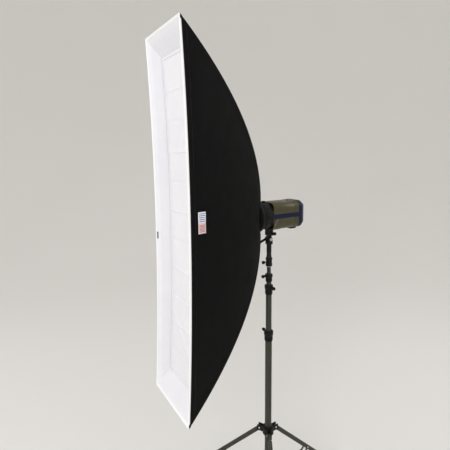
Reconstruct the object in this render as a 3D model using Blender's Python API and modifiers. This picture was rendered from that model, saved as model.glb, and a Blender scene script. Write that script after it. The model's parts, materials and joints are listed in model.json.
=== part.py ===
"""Strip softbox on a monolight flash head, a tilting bracket and a folding light stand.

Metres, +Z up. The softbox faces -Y. The origin is at the bottom centre of the bounding box.
"""

import math

import bmesh
import bpy
from mathutils import Matrix, Vector

# ---- softbox: driving sizes ----
SOFTBOX_WIDTH = 0.350
SOFTBOX_HEIGHT = 1.600
BOW_DEPTH = 0.455  # rim corners to the top of the rods' bow
RIM_BOW = 0.022  # how far the long front edges bow back at half height
NECK_HALF_X = 0.055
NECK_HALF_Z = 0.070
CLOTH = 0.0012
BINDING_WIDE = 0.005
BINDING_DEEP = 0.008
LIP_DEEP = 0.070
LIP_KNEE_DEPTH = 0.020  # the lip turns in here, to pass inside the rods' ends
LIP_KNEE_INSET = 0.013
LIP_BACK_INSET = 0.020
ROD_R = 0.0025
ROD_CLEAR = 0.0016  # between a rod and the cloth
ROD_SHORT = 0.022  # the rim's end to a rod's outer end, in height
ROD_FROM_NECK = 0.004  # the neck's edge to a socket's mouth, in height
SOCKET_R = 0.006
SOCKET_LONG = 0.030
SOCKET_MOUTH = 0.010  # how far a rod's end stands inside its socket

# ---- ring and flash head ----
RING_R = 0.078
RING_HOLE_R = 0.050
RING_THICK = 0.014
RING_CHAMFER = 0.001
FLANGE_SEAT = 0.001  # how deep the adapter's flange is let into the ring's back
ADAPTER_FLANGE_R = 0.060
ADAPTER_BORE_R = 0.042
ADAPTER_THICK = 0.011
BELL_LONG = 0.052
BELL_R = 0.066
BELL_MOUTH_R = 0.060
BELL_WALL = 0.004
BELL_TAPER = 0.35  # the mouth's share of its length that tapers
HEAD_WIDTH = 0.120
HEAD_HEIGHT = 0.134
HEAD_CORNER_R = 0.030
HEAD_WALL = 0.002
COLLAR_PROUD = 0.0008
CAP_PROUD = 0.0015
SHELL_LONG = 0.134
TRIM_HIGH = 0.022
TRIM_THICK = 0.003
TRIM_PROUD = 0.0005
COLLAR_LONG = 0.026
CAP_LONG = 0.045
CAP_CHAMFER = 0.016
CAP_RIM = 0.004
CAP_WALL = 0.003
CAP_STRAIGHT = 0.45  # share of the cap's length before its chamfer
CAP_LEDGE = 0.008  # how far the cap's inside slopes in to its ledge
PANEL_THICK = 0.003
TUBE_COIL_R = 0.026
TUBE_R = 0.004
LAMP_R = 0.011
LAMP_LONG = 0.060
CAPACITOR_R = 0.020
CAPACITOR_LONG = 0.085
CAPACITOR_IN = 0.012  # the body's front edge to the capacitor
DIAL_R = 0.011
DIAL_LONG = 0.013
DIAL_SHAFT_R = 0.003
BUTTON_R = 0.005
BUTTON_OUT = 0.003
SWITCH_WIDE = 0.012
SWITCH_HIGH = 0.020
SWITCH_DEEP = 0.008
SWITCH_ANGLE = math.radians(8)
SWITCH_PLAY = 0.0008
INLET_WIDE = 0.028
INLET_HIGH = 0.020
INLET_DEEP = 0.018
INLET_WALL = 0.0025
INLET_PROUD = 0.0015
INLET_SIDE = 0.75  # share of the controls' side offset
CONTROL_X = HEAD_WIDTH * 11 / 60  # moves in with a narrower head
CONTROL_Z = 0.026
FOOT_WIDE = 0.050
FOOT_HIGH = 0.009
FOOT_FROM_FRONT = 0.002  # rear collar's front edge to the foot
FOOT_UNDER_CAP = 0.014
RELEASE_WIDE = 0.014
RELEASE_LONG = 0.016
RELEASE_HIGH = 0.007
RELEASE_TRAVEL = 0.006
RELEASE_MARGIN = 0.004  # room behind the release at the end of its travel

# ---- bracket ----
COLUMN_BEHIND_NECK = 0.0955
TILT_DROP = 0.120  # head axis to tilt pivot
TONGUE_THICK = 0.012
EAR_THICK = 0.007
BRACKET_DEEP = 0.026
BLOCK_WIDE = 0.034
BLOCK_TALL = 0.034
PLATE_LONG = 0.070
PLATE_TALL = 0.006
PLATE_LEAD = 0.0117  # how far the plate reaches in front of the column
CAST_STEP = 0.001  # step between the faces of the casting
BOLT_R = 0.004
BOLT_HEAD_R = 0.008
BOLT_HEAD_LONG = 0.005
BOLT_PAST_LEVER = 0.002
UMBRELLA_R = 0.005
UMBRELLA_RISE = 0.013  # the block's underside to the middle of the hole
UMBRELLA_SCREW_BACK = 0.006
YOKE_BASE_TALL = 0.011
SOCKET_TOP_DROP = 0.027  # tilt pivot to the top of the stand socket
SOCKET_OUTER_R = 0.0125
SOCKET_TALL = 0.111
SOCKET_COLLAR_R = 0.0165
SOCKET_COLLAR_TALL = 0.045
SOCKET_CHAMFER = 0.003
SPIGOT_HEADROOM = 0.002  # above the spigot's end, in the socket
LEVER_LONG = 0.060
LEVER_THICK = 0.008
LEVER_DROOP = math.radians(20)
LEVER_HUB_R = 0.011
LEVER_HIGH = 0.010

# ---- stand ----
SPIGOT_R = 0.008
SPIGOT_TALL = 0.070
SPIGOT_PLUG = 0.030
SPIGOT_FLANGE = 0.003
SPIGOT_FLANGE_OUT = 0.002  # how far the flange stands out past the uppermost tube
SPIGOT_GROOVE = (0.017, 0.020, 0.027, 0.030)  # heights of the groove's edges above the flange
SPIGOT_GROOVE_DEEP = 0.0015
TUBE_RADII = (0.0175, 0.0150, 0.0125, 0.0100)
TUBE_WALL = 0.00125
TUBE_LONG = (1.001, 0.900, 0.860, 0.820)
TUBE_SHOWING = (0.196, 0.018, 0.038)  # how much of each upper tube stands out of its collar
COLLAR_TALL = (0.052, 0.048, 0.039)
COLLAR_GRIP = (0.030, 0.028, 0.022)  # how far each collar reaches down its own tube
COLLAR_WALL = 0.006
KNOB_R = 0.009
KNOB_LONG = 0.013
KNOB_STEM_R = 0.003
KNOB_STEM_LONG = 0.012
LEG_LONG = 0.720  # pivot to the middle of the boot's end
LEG_ANGLE = math.radians(44)  # below the horizontal, legs open
LEG_R = 0.011
LEG_WALL = 0.0012
LUG_THICK = 0.012
LUG_R = 0.009
LUG_REACH = 0.022  # pivot to the start of the leg's tube
LUG_PLUG = 0.012  # how far the lug runs into the tube
HINGE_R = 0.046  # column axis to the legs' pivots
PIN_R = 0.003
PIN_PROUD = 0.001
ELBOW_PIN_PROUD = 0.002
HUB_R = 0.029
HUB_TALL = 0.036
HUB_ARM_OUT = 0.012  # how far an arm reaches beyond its pivot
HUB_ARM_IN = 0.008  # how far an arm runs into the hub
ARM_SHARE = 0.8  # height of the arms, as a share of the hub's or the bracket's
CHEEK_THICK = 0.005
BASE_R = 0.025
BASE_TALL = 0.024
BASE_ARM_OUT = 0.008
BASE_ARM_IN = 0.005
BASE_UNDER_PIVOT = 0.018  # base bracket's pivots to the column's lower end
BRACE_LONG = 0.325  # between pivots, and along the leg from the hub's pivot
BRACE_WIDE = 0.014
BRACE_THICK = 0.002
BRACE_WEB_FROM_BASE = 0.080
BRACE_WEB_FROM_LEG = 0.034
BOOT_R = 0.014
BOOT_LONG = 0.050
BOOT_SOLE = 0.018
LEG_DIRECTIONS = (math.radians(-30), math.radians(210), math.radians(90))

# ---- clearances ----
GAP = 0.0004
RUNNING = 0.0003
SLIDING = 0.0006

# ---- positions worked out from the sizes ----
HUB_Z = LEG_LONG * math.sin(LEG_ANGLE)
FOOT_OUT = HINGE_R + LEG_LONG * math.cos(LEG_ANGLE)
BACK_OUT = FOOT_OUT + BOOT_R * math.sin(LEG_ANGLE)
NECK_DEPTH = BOW_DEPTH * (1 - (2 * NECK_HALF_Z / SOFTBOX_HEIGHT) ** 2)
COLUMN_Y = (NECK_DEPTH + COLUMN_BEHIND_NECK - BACK_OUT) / 2
NECK_Y = COLUMN_Y - COLUMN_BEHIND_NECK
FRONT_Y = NECK_Y - NECK_DEPTH
BASE_PIVOT_Z = HUB_Z - 2 * BRACE_LONG * math.sin(LEG_ANGLE)
COLUMN_BOTTOM = BASE_PIVOT_Z - BASE_UNDER_PIVOT
TUBE_TOP = [COLUMN_BOTTOM + TUBE_LONG[0]]
COLLAR_BOTTOM = [TUBE_TOP[0] - COLLAR_GRIP[0]]
for level in (1, 2):
    COLLAR_BOTTOM.append(COLLAR_BOTTOM[-1] + COLLAR_TALL[level - 1] + TUBE_SHOWING[level - 1])
    TUBE_TOP.append(COLLAR_BOTTOM[-1] + COLLAR_GRIP[level])
TUBE_TOP.append(COLLAR_BOTTOM[-1] + COLLAR_TALL[-1] + TUBE_SHOWING[-1])
SOCKET_BOTTOM = TUBE_TOP[3] + SPIGOT_FLANGE + 2 * GAP
SOCKET_TOP = SOCKET_BOTTOM + SOCKET_TALL
TILT_Z = SOCKET_TOP + SOCKET_TOP_DROP
AXIS_Z = TILT_Z + TILT_DROP
COLUMN = Vector((0, COLUMN_Y, 0))

RING_Y = NECK_Y + GAP
ADAPTER_Y = RING_Y + RING_THICK - FLANGE_SEAT + GAP
BELL_Y = ADAPTER_Y + ADAPTER_THICK + GAP
SHELL_Y = BELL_Y + BELL_LONG + GAP
REAR_COLLAR_Y = SHELL_Y + SHELL_LONG + GAP
CAP_Y = REAR_COLLAR_Y + COLLAR_LONG + GAP
CAP_END_Y = CAP_Y + CAP_LONG

# ---- start from an empty scene ----
for item in list(bpy.data.objects):
    bpy.data.objects.remove(item)
parts = bpy.data.collections.new("studio_softbox")
cutters = bpy.data.collections.new("cutters")
bpy.context.scene.collection.children.link(parts)
bpy.context.scene.collection.children.link(cutters)


def material(name, colour, roughness, metallic=0.0):
    made = bpy.data.materials.new(name)
    made.use_nodes = True
    shader = made.node_tree.nodes["Principled BSDF"]
    shader.inputs["Base Color"].default_value = (*colour, 1)
    shader.inputs["Roughness"].default_value = roughness
    shader.inputs["Metallic"].default_value = metallic
    return made


BLACK_CLOTH = material("black_cloth", (0.012, 0.012, 0.013), 0.8)
WHITE_CLOTH = material("white_cloth", (0.80, 0.80, 0.84), 0.85)
BLACK_METAL = material("black_metal", (0.02, 0.02, 0.02), 0.45, 0.3)
BLACK_PLASTIC = material("black_plastic", (0.02, 0.02, 0.02), 0.5)
CHAMPAGNE = material("champagne_metal", (0.42, 0.40, 0.31), 0.35, 0.8)
BLUE_PLASTIC = material("blue_plastic", (0.02, 0.05, 0.22), 0.4)
SATIN_STEEL = material("satin_steel", (0.55, 0.55, 0.53), 0.35, 1.0)
TUBE_METAL = material("anodised_tube", (0.20, 0.20, 0.17), 0.35, 0.9)
RUBBER = material("rubber", (0.015, 0.015, 0.015), 0.8)
GLASS = material("glass", (0.9, 0.9, 0.88), 0.1)
FOIL = material("capacitor_sleeve", (0.05, 0.06, 0.09), 0.5)


def add(name, bm, surface, home=parts):
    """Turns a bmesh into a named object with its own material."""
    mesh = bpy.data.meshes.new(name)
    bm.to_mesh(mesh)
    bm.free()
    obj = bpy.data.objects.new(name, mesh)
    home.objects.link(obj)
    if surface:
        mesh.materials.append(surface)
    else:
        obj.hide_render = True
        obj.display_type = "WIRE"
    return obj


def smooth(obj, degrees=40):
    obj.data.shade_smooth()
    obj.data.set_sharp_from_angle(angle=math.radians(degrees))
    return obj


def bevelled(obj, width, segments=2):
    bevel = obj.modifiers.new("edges", "BEVEL")
    bevel.width = width
    bevel.segments = segments
    bevel.limit_method = "ANGLE"
    bevel.angle_limit = math.radians(40)
    return obj


def box(name, surface, low, high, home=parts):
    """A box between two corners, with its origin in its middle."""
    low, high = Vector(low), Vector(high)
    bm = bmesh.new()
    bmesh.ops.create_cube(bm, size=1)
    bmesh.ops.scale(bm, vec=high - low, verts=bm.verts)
    obj = add(name, bm, surface, home)
    obj.location = (low + high) / 2
    return obj


def cutter_box(low, high):
    return box("cutter", None, low, high, cutters)


def rod(name, surface, start, end, radius, sides=16, home=parts):
    """A plain round bar from start to end."""
    start, end = Vector(start), Vector(end)
    bm = bmesh.new()
    bmesh.ops.create_cone(
        bm, cap_ends=True, segments=sides, radius1=radius, radius2=radius, depth=(end - start).length
    )
    obj = add(name, bm, surface, home)
    obj.location = (start + end) / 2
    obj.rotation_euler = (end - start).to_track_quat("Z", "Y").to_euler()
    return smooth(obj)


def cutter_rod(start, end, radius, sides=16):
    return rod("cutter", None, start, end, radius, sides, cutters)


def turned(name, surface, profile, place, direction=(0, 0, 1), steps=20, closed=True):
    """A turned piece: a profile of (radius, height) points, run down its outer side, spun round."""
    mesh = bpy.data.meshes.new(name)
    points = [(radius, 0, height) for radius, height in profile]
    edges = [(i, i + 1) for i in range(len(points) - 1)]
    if closed:
        edges.append((len(points) - 1, 0))
    mesh.from_pydata(points, edges, [])
    obj = bpy.data.objects.new(name, mesh)
    parts.objects.link(obj)
    mesh.materials.append(surface)
    screw = obj.modifiers.new("spin", "SCREW")
    screw.steps = steps
    screw.render_steps = steps
    screw.use_merge_vertices = True
    screw.merge_threshold = 0.0001
    obj.location = place
    obj.rotation_euler = Vector(direction).to_track_quat("Z", "Y").to_euler()
    return obj


def pipe(outer, inner, low, high):
    """The closed profile of a tube."""
    return [(outer, high), (outer, low), (inner, low), (inner, high)]


def boolean(obj, other, operation="DIFFERENCE"):
    cut = obj.modifiers.new(operation.lower(), "BOOLEAN")
    cut.operation = operation
    cut.object = other
    cut.solver = "EXACT"
    if operation == "UNION":
        parts.objects.unlink(other)
        cutters.objects.link(other)
        other.hide_render = True
        other.display_type = "WIRE"
    return obj


def sheet(name, surface, point, across, along, outward, thickness=CLOTH):
    """A cloth panel: a grid laid over point(u, v), u and v from 0 to 1, thickened inwards."""
    bm = bmesh.new()
    bmesh.ops.create_grid(bm, x_segments=across, y_segments=along, size=0.5)
    for vert in bm.verts:
        vert.co = point(vert.co.x + 0.5, vert.co.y + 0.5)
    bm.normal_update()
    facing = sum(face.normal.dot(Vector(outward)) * face.calc_area() for face in bm.faces)
    if facing < 0:
        bmesh.ops.reverse_faces(bm, faces=bm.faces)
    obj = add(name, bm, surface)
    solid = obj.modifiers.new("thickness", "SOLIDIFY")
    solid.thickness = thickness
    solid.offset = -1
    return smooth(obj, 60)


def loft(name, surface, loops, capped=False):
    """Skin over equal loops of points. Uncapped, the last loop joins the first again."""
    bm = bmesh.new()
    rings = [[bm.verts.new(point) for point in loop] for loop in loops]
    pairs = list(zip(rings, rings[1:]))
    if capped:
        bm.faces.new(rings[0])
        bm.faces.new(rings[-1])
    else:
        pairs.append((rings[-1], rings[0]))
    for first, second in pairs:
        for i in range(len(first)):
            j = (i + 1) % len(first)
            bm.faces.new((first[i], first[j], second[j], second[i]))
    bmesh.ops.recalc_face_normals(bm, faces=bm.faces)
    return smooth(add(name, bm, surface))


# ---- softbox ----
def bow_depth(height):
    """Depth behind the rim plane of the rods' bow, a parabola over the height from the axis."""
    return BOW_DEPTH * (1 - (2 * height / SOFTBOX_HEIGHT) ** 2)


def half_width(height):
    """Half width between the rods where they stand this far from the axis."""
    share = (height - NECK_HALF_Z) / (SOFTBOX_HEIGHT / 2 - NECK_HALF_Z)
    return NECK_HALF_X + (SOFTBOX_WIDTH / 2 - NECK_HALF_X) * share


def rim_bow(share):
    """How far back the long front edge lies, at a share of the half height."""
    return RIM_BOW * (1 - share**2)


RIM_HEIGHT = SOFTBOX_HEIGHT / 2
PANEL_TOP = RIM_HEIGHT - (BINDING_DEEP + CLOTH + GAP) * RIM_HEIGHT / (2 * BOW_DEPTH)


def panel_height(v):
    """Height of the rods from the axis, from the panels' front edge, v = 0, to the neck, v = 1."""
    return PANEL_TOP + (NECK_HALF_Z - PANEL_TOP) * v


def side_point(side):
    def point(u, v):
        rods = panel_height(v)
        across = 2 * u - 1
        back = bow_depth(rods) + rim_bow(across) * (1 - v) ** 2
        return Vector((side * half_width(rods), FRONT_Y + back, AXIS_Z + rods * across))

    return point


def end_point(side):
    def point(u, v):
        rods = panel_height(v)
        reach = half_width(rods) - 2 * CLOTH
        return Vector((reach * (2 * u - 1), FRONT_Y + bow_depth(rods), AXIS_Z + side * rods))

    return point


sheet("shell_side_right", BLACK_CLOTH, side_point(1), 12, 16, (1, 0, 0))
sheet("shell_side_left", BLACK_CLOTH, side_point(-1), 12, 16, (-1, 0, 0))
sheet("shell_top", BLACK_CLOTH, end_point(1), 4, 16, (0, 0, 1))
sheet("shell_bottom", BLACK_CLOTH, end_point(-1), 4, 16, (0, 0, -1))


def rim_loop(inset, depth, taper=0.0):
    """A loop round the rim, set in from its outer edge, with the long edges bowed back."""
    wide, tall = SOFTBOX_WIDTH / 2 - inset, RIM_HEIGHT - inset - taper
    pieces = 12
    rise = [2 * i / pieces - 1 for i in range(pieces + 1)]
    right = [Vector((wide, depth + rim_bow(share), tall * share)) for share in rise]
    left = [Vector((-wide, depth + rim_bow(share), -tall * share)) for share in rise]
    shift = Vector((0, FRONT_Y, AXIS_Z))
    return [shift + point for point in right + left]


# The white lip starts as the binding round the rim and runs back inside the rods and the panels.
LIP_SLOPE = RIM_HEIGHT / (2 * BOW_DEPTH)
LIP_KNEE_TAPER = LIP_KNEE_DEPTH * LIP_SLOPE
LIP_BACK_TAPER = LIP_DEEP * LIP_SLOPE
loft(
    "front_lip",
    WHITE_CLOTH,
    [
        rim_loop(0, 0),
        rim_loop(0, BINDING_DEEP),
        rim_loop(BINDING_WIDE, BINDING_DEEP, BINDING_DEEP * LIP_SLOPE),
        rim_loop(LIP_KNEE_INSET, LIP_KNEE_DEPTH, LIP_KNEE_TAPER),
        rim_loop(LIP_BACK_INSET, LIP_DEEP, LIP_BACK_TAPER),
        rim_loop(LIP_BACK_INSET + CLOTH, LIP_DEEP, LIP_BACK_TAPER),
        rim_loop(LIP_KNEE_INSET + CLOTH, LIP_KNEE_DEPTH, LIP_KNEE_TAPER),
        rim_loop(BINDING_WIDE + CLOTH, 0),
    ],
)


DIFFUSER_HALF_X = SOFTBOX_WIDTH / 2 - LIP_BACK_INSET - 2 * CLOTH
DIFFUSER_HALF_Z = RIM_HEIGHT - LIP_BACK_INSET - LIP_BACK_TAPER - 2 * CLOTH


def diffuser_point(u, v):
    across, rise = 2 * u - 1, 2 * v - 1
    depth = LIP_DEEP - 3 * CLOTH + rim_bow(rise)
    return Vector((DIFFUSER_HALF_X * across, FRONT_Y + depth, AXIS_Z + DIFFUSER_HALF_Z * rise))


sheet("front_diffuser", WHITE_CLOTH, diffuser_point, 2, 12, (0, -1, 0))

ROD_INSET = CLOTH + ROD_R + ROD_CLEAR


def rod_centre(height, side_x, side_z):
    """Middle of a rod, lying inside the corner of two panels."""
    slope = 8 * BOW_DEPTH * height / SOFTBOX_HEIGHT**2
    normal = Vector((0, 1, slope)).normalized() * ROD_INSET
    lean = (SOFTBOX_WIDTH / 2 - NECK_HALF_X) / (RIM_HEIGHT - NECK_HALF_Z)
    x = half_width(height) - ROD_INSET * (1 + lean)
    z = height - normal.z
    return Vector((side_x * x, FRONT_Y + bow_depth(height) - normal.y, AXIS_Z + side_z * z))


CORNERS = ((1, 1), (-1, 1), (-1, -1), (1, -1))


def bent_bar(name, surface, route, radius, resolution=1):
    """A round bar along a route of points."""
    curve = bpy.data.curves.new(name, "CURVE")
    curve.dimensions = "3D"
    curve.bevel_depth = radius
    curve.bevel_resolution = resolution
    curve.use_fill_caps = True
    spline = curve.splines.new("POLY")
    spline.points.add(len(route) - 1)
    for spot, place in zip(spline.points, route):
        spot.co = (*place, 1)
    obj = bpy.data.objects.new(name, curve)
    parts.objects.link(obj)
    curve.materials.append(surface)
    return obj


ROD_TOP = RIM_HEIGHT - ROD_SHORT
ROD_END = NECK_HALF_Z - SOCKET_MOUTH - ROD_FROM_NECK
ROD_PIECES = 14
ROD_NAMES = ("rod_top_right", "rod_top_left", "rod_bottom_left", "rod_bottom_right")
routes = []
for name, (side_x, side_z) in zip(ROD_NAMES, CORNERS):
    heights = [ROD_TOP + (ROD_END - ROD_TOP) * i / ROD_PIECES for i in range(ROD_PIECES + 1)]
    routes.append([rod_centre(height, side_x, side_z) for height in heights])
    bent_bar(name, SATIN_STEEL, routes[-1], ROD_R)

ring = turned(
    "speed_ring",
    BLACK_METAL,
    [
        (RING_R, RING_THICK),
        (RING_R, RING_CHAMFER),
        (RING_R - RING_CHAMFER, 0),
        (RING_HOLE_R, 0),
        (RING_HOLE_R, RING_THICK - FLANGE_SEAT),
        (ADAPTER_FLANGE_R + RUNNING, RING_THICK - FLANGE_SEAT),
        (ADAPTER_FLANGE_R + RUNNING, RING_THICK),
    ],
    (0, RING_Y, AXIS_Z),
    (0, 1, 0),
    32,
)

# Each rod's lower end stands in a socket cast on the ring's front.
BORE_PAST_MOUTH = 0.005
for number, route in enumerate(routes, 1):
    end = route[-1]
    along = (route[-2] - end).normalized()
    mouth = end + along * SOCKET_MOUTH
    foot = mouth - along * SOCKET_LONG
    boolean(ring, rod(f"rod_socket_{number}", BLACK_METAL, foot, mouth, SOCKET_R, 12), "UNION")
    boolean(ring, cutter_rod(end - along * RUNNING, mouth + along * BORE_PAST_MOUTH, ROD_R + RUNNING, 12))


def thumbscrew(name, surface, start, direction):
    """A thumbscrew: its stem starts at start and its lobed knob sits at the outer end."""
    knob = KNOB_STEM_LONG + KNOB_LONG
    waist = KNOB_STEM_LONG + 0.4 * KNOB_LONG
    profile = [
        (0, knob),
        (KNOB_R * 0.7, knob),
        (KNOB_R, waist),
        (KNOB_R * 0.8, KNOB_STEM_LONG),
        (KNOB_STEM_R, KNOB_STEM_LONG),
        (KNOB_STEM_R, 0),
        (0, 0),
    ]
    return turned(name, surface, profile, start, direction, 12, closed=False)


ring_top = (0, RING_Y + RING_THICK / 2, AXIS_Z + RING_R + GAP)
thumbscrew("ring_lock_screw", BLACK_METAL, ring_top, (0, 0, 1))

# ---- flash head ----
SLEEVE_R = RING_HOLE_R - SLIDING
SLEEVE_LONG = RING_THICK - FLANGE_SEAT
turned(
    "bayonet_adapter",
    BLACK_METAL,
    [
        (ADAPTER_FLANGE_R, ADAPTER_THICK),
        (ADAPTER_FLANGE_R, 0),
        (SLEEVE_R, 0),
        (SLEEVE_R, -SLEEVE_LONG),
        (ADAPTER_BORE_R, -SLEEVE_LONG),
        (ADAPTER_BORE_R, ADAPTER_THICK),
    ],
    (0, ADAPTER_Y, AXIS_Z),
    (0, 1, 0),
    32,
)
BELL_INNER = BELL_R - BELL_WALL
turned(
    "front_housing",
    BLACK_PLASTIC,
    [
        (BELL_R, BELL_LONG),
        (BELL_R, BELL_LONG * BELL_TAPER),
        (BELL_MOUTH_R, 0),
        (ADAPTER_BORE_R, 0),
        (ADAPTER_BORE_R, BELL_WALL),
        (BELL_MOUTH_R - BELL_WALL, BELL_WALL),
        (BELL_INNER, BELL_LONG * BELL_TAPER + BELL_WALL),
        (BELL_INNER, BELL_LONG),
    ],
    (0, BELL_Y, AXIS_Z),
    (0, 1, 0),
    32,
)
release_y = BELL_Y + BELL_LONG - RELEASE_LONG - RELEASE_TRAVEL - RELEASE_MARGIN
release_z = AXIS_Z + BELL_R + GAP
bevelled(
    box(
        "bayonet_release",
        BLACK_PLASTIC,
        (-RELEASE_WIDE / 2, release_y, release_z),
        (RELEASE_WIDE / 2, release_y + RELEASE_LONG, release_z + RELEASE_HIGH),
    ),
    0.001,
    1,
)


def ring_route(radius, pieces, centre_y, gap_angle):
    """An open ring of points round the head's axis, with its gap at the bottom."""
    span = 2 * math.pi - gap_angle
    start = -math.pi / 2 + gap_angle / 2
    angles = [start + span * i / pieces for i in range(pieces + 1)]
    return [(radius * math.cos(a), centre_y, AXIS_Z + radius * math.sin(a)) for a in angles]


COIL_GAP = 0.5  # angle between the ends of the ring-shaped flash tube
bent_bar("flash_tube", GLASS, ring_route(TUBE_COIL_R, 20, ADAPTER_Y - TUBE_R, COIL_GAP), TUBE_R)
lamp_start = BELL_Y + BELL_LONG * 0.45
turned(
    "modelling_lamp",
    GLASS,
    [
        (0, LAMP_LONG),
        (LAMP_R * 0.7, LAMP_LONG - 0.003),
        (LAMP_R, LAMP_LONG - 0.012),
        (LAMP_R, 0.010),
        (LAMP_R * 0.6, 0),
        (0, 0),
    ],
    (0, lamp_start, AXIS_Z),
    (0, -1, 0),
    12,
    closed=False,
)


def rounded_outline(half_x, half_z, radius, pieces=5):
    """Points (x, z) round a rounded rectangle, from the right side upwards."""
    points = []
    for quarter, (side_x, side_z) in enumerate(CORNERS):
        centre_x, centre_z = side_x * (half_x - radius), side_z * (half_z - radius)
        for i in range(pieces + 1):
            angle = math.pi / 2 * (quarter + i / pieces)
            points.append((centre_x + radius * math.cos(angle), centre_z + radius * math.sin(angle)))
    return points


def body_loop(inset, y, corner=HEAD_CORNER_R):
    outline = rounded_outline(HEAD_WIDTH / 2 - inset, HEAD_HEIGHT / 2 - inset, max(corner - inset, 0.006))
    return [Vector((x, y, AXIS_Z + z)) for x, z in outline]


def wrap(name, surface, outline, start, end):
    """A bent sheet-metal cover: an outline (x, z) run along Y and thickened inwards."""
    bm = bmesh.new()
    verts = [bm.verts.new((x, start, AXIS_Z + z)) for x, z in outline]
    edges = [bm.edges.new(pair) for pair in zip(verts, verts[1:])]
    grown = bmesh.ops.extrude_edge_only(bm, edges=edges)["geom"]
    moved = [item for item in grown if isinstance(item, bmesh.types.BMVert)]
    bmesh.ops.translate(bm, vec=(0, end - start, 0), verts=moved)
    bm.normal_update()
    middle = Vector((0, (start + end) / 2, AXIS_Z))
    if sum(face.normal.dot(face.calc_center_median() - middle) for face in bm.faces) < 0:
        bmesh.ops.reverse_faces(bm, faces=bm.faces)
    obj = add(name, bm, surface)
    solid = obj.modifiers.new("thickness", "SOLIDIFY")
    solid.thickness = HEAD_WALL
    solid.offset = -1
    return smooth(obj)


body_outline = rounded_outline(HEAD_WIDTH / 2, HEAD_HEIGHT / 2, HEAD_CORNER_R)
upper = [point for point in body_outline if point[1] > 0]
trim_edge = TRIM_HIGH / 2 + GAP
upper = [(HEAD_WIDTH / 2, trim_edge), *upper, (-HEAD_WIDTH / 2, trim_edge)]
wrap("body_shell_top", CHAMPAGNE, upper, SHELL_Y, SHELL_Y + SHELL_LONG)
lower = [(x, -z) for x, z in upper]
wrap("body_shell_bottom", CHAMPAGNE, lower, SHELL_Y, SHELL_Y + SHELL_LONG)
for side, name in ((1, "side_trim_right"), (-1, "side_trim_left")):
    inner, outer = sorted((side * (HEAD_WIDTH / 2 - TRIM_THICK), side * (HEAD_WIDTH / 2 + TRIM_PROUD)))
    box(
        name,
        BLUE_PLASTIC,
        (inner, SHELL_Y, AXIS_Z - TRIM_HIGH / 2),
        (outer, SHELL_Y + SHELL_LONG, AXIS_Z + TRIM_HIGH / 2),
    )
loft(
    "rear_collar",
    CHAMPAGNE,
    [
        body_loop(-COLLAR_PROUD, REAR_COLLAR_Y),
        body_loop(-COLLAR_PROUD, REAR_COLLAR_Y + COLLAR_LONG),
        body_loop(HEAD_WALL, REAR_COLLAR_Y + COLLAR_LONG),
        body_loop(HEAD_WALL, REAR_COLLAR_Y),
    ],
)
CAP_INSET = CAP_CHAMFER + CAP_RIM
CAP_BEND_Y = CAP_Y + CAP_LONG * CAP_STRAIGHT
LEDGE_Y = CAP_END_Y - CAP_WALL - PANEL_THICK
loft(
    "rear_cap",
    BLUE_PLASTIC,
    [
        body_loop(-CAP_PROUD, CAP_Y),
        body_loop(-CAP_PROUD, CAP_BEND_Y),
        body_loop(CAP_CHAMFER, CAP_END_Y),
        body_loop(CAP_INSET, CAP_END_Y),
        body_loop(CAP_INSET, LEDGE_Y),
        body_loop(CAP_CHAMFER * 0.7, LEDGE_Y - CAP_LEDGE),
        body_loop(CAP_WALL, CAP_BEND_Y - CAP_WALL),
        body_loop(CAP_WALL, CAP_Y),
    ],
)

# The control panel closes the cap's rear opening, a little way in.
PANEL_BACK = CAP_END_Y - CAP_WALL
panel = loft(
    "control_panel",
    BLACK_PLASTIC,
    [
        body_loop(CAP_INSET + RUNNING, PANEL_BACK - PANEL_THICK),
        body_loop(CAP_INSET + RUNNING, PANEL_BACK),
    ],
    capped=True,
)
DIAL_SPOT = Vector((0, PANEL_BACK, AXIS_Z + CONTROL_Z))
BUTTON_SPOT = Vector((-CONTROL_X, PANEL_BACK, AXIS_Z))
SWITCH_SPOT = Vector((-CONTROL_X, PANEL_BACK, AXIS_Z - CONTROL_Z))
INLET_SPOT = Vector((CONTROL_X * INLET_SIDE, PANEL_BACK, AXIS_Z - CONTROL_Z))
THROUGH = Vector((0, 0.010, 0))
boolean(panel, cutter_rod(DIAL_SPOT - THROUGH, DIAL_SPOT + THROUGH, DIAL_SHAFT_R + RUNNING))
boolean(panel, cutter_rod(BUTTON_SPOT - THROUGH, BUTTON_SPOT + THROUGH, BUTTON_R + RUNNING))
for spot, wide, high, room in (
    (SWITCH_SPOT, SWITCH_WIDE, SWITCH_HIGH, SWITCH_PLAY),
    (INLET_SPOT, INLET_WIDE, INLET_HIGH, RUNNING),
):
    half = Vector((wide / 2 + room, 0, high / 2 + room))
    boolean(panel, cutter_box(spot - half - THROUGH, spot + half + THROUGH))
turned(
    "power_dial",
    BLACK_PLASTIC,
    [
        (0, DIAL_LONG),
        (DIAL_R * 0.85, DIAL_LONG),
        (DIAL_R, GAP),
        (DIAL_SHAFT_R, GAP),
        (DIAL_SHAFT_R, -2 * PANEL_THICK),
        (0, -2 * PANEL_THICK),
    ],
    DIAL_SPOT,
    (0, 1, 0),
    16,
    closed=False,
)
rod(
    "test_button",
    BLUE_PLASTIC,
    BUTTON_SPOT - Vector((0, PANEL_THICK + BUTTON_OUT, 0)),
    BUTTON_SPOT + Vector((0, BUTTON_OUT, 0)),
    BUTTON_R,
)
switch_half = Vector((SWITCH_WIDE / 2, SWITCH_DEEP / 2, SWITCH_HIGH / 2 - SWITCH_PLAY))
switch = box("power_switch", BLACK_PLASTIC, SWITCH_SPOT - switch_half, SWITCH_SPOT + switch_half)
switch.rotation_euler = (-SWITCH_ANGLE, 0, 0)
inlet_half = Vector((INLET_WIDE / 2, 0, INLET_HIGH / 2))
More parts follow.
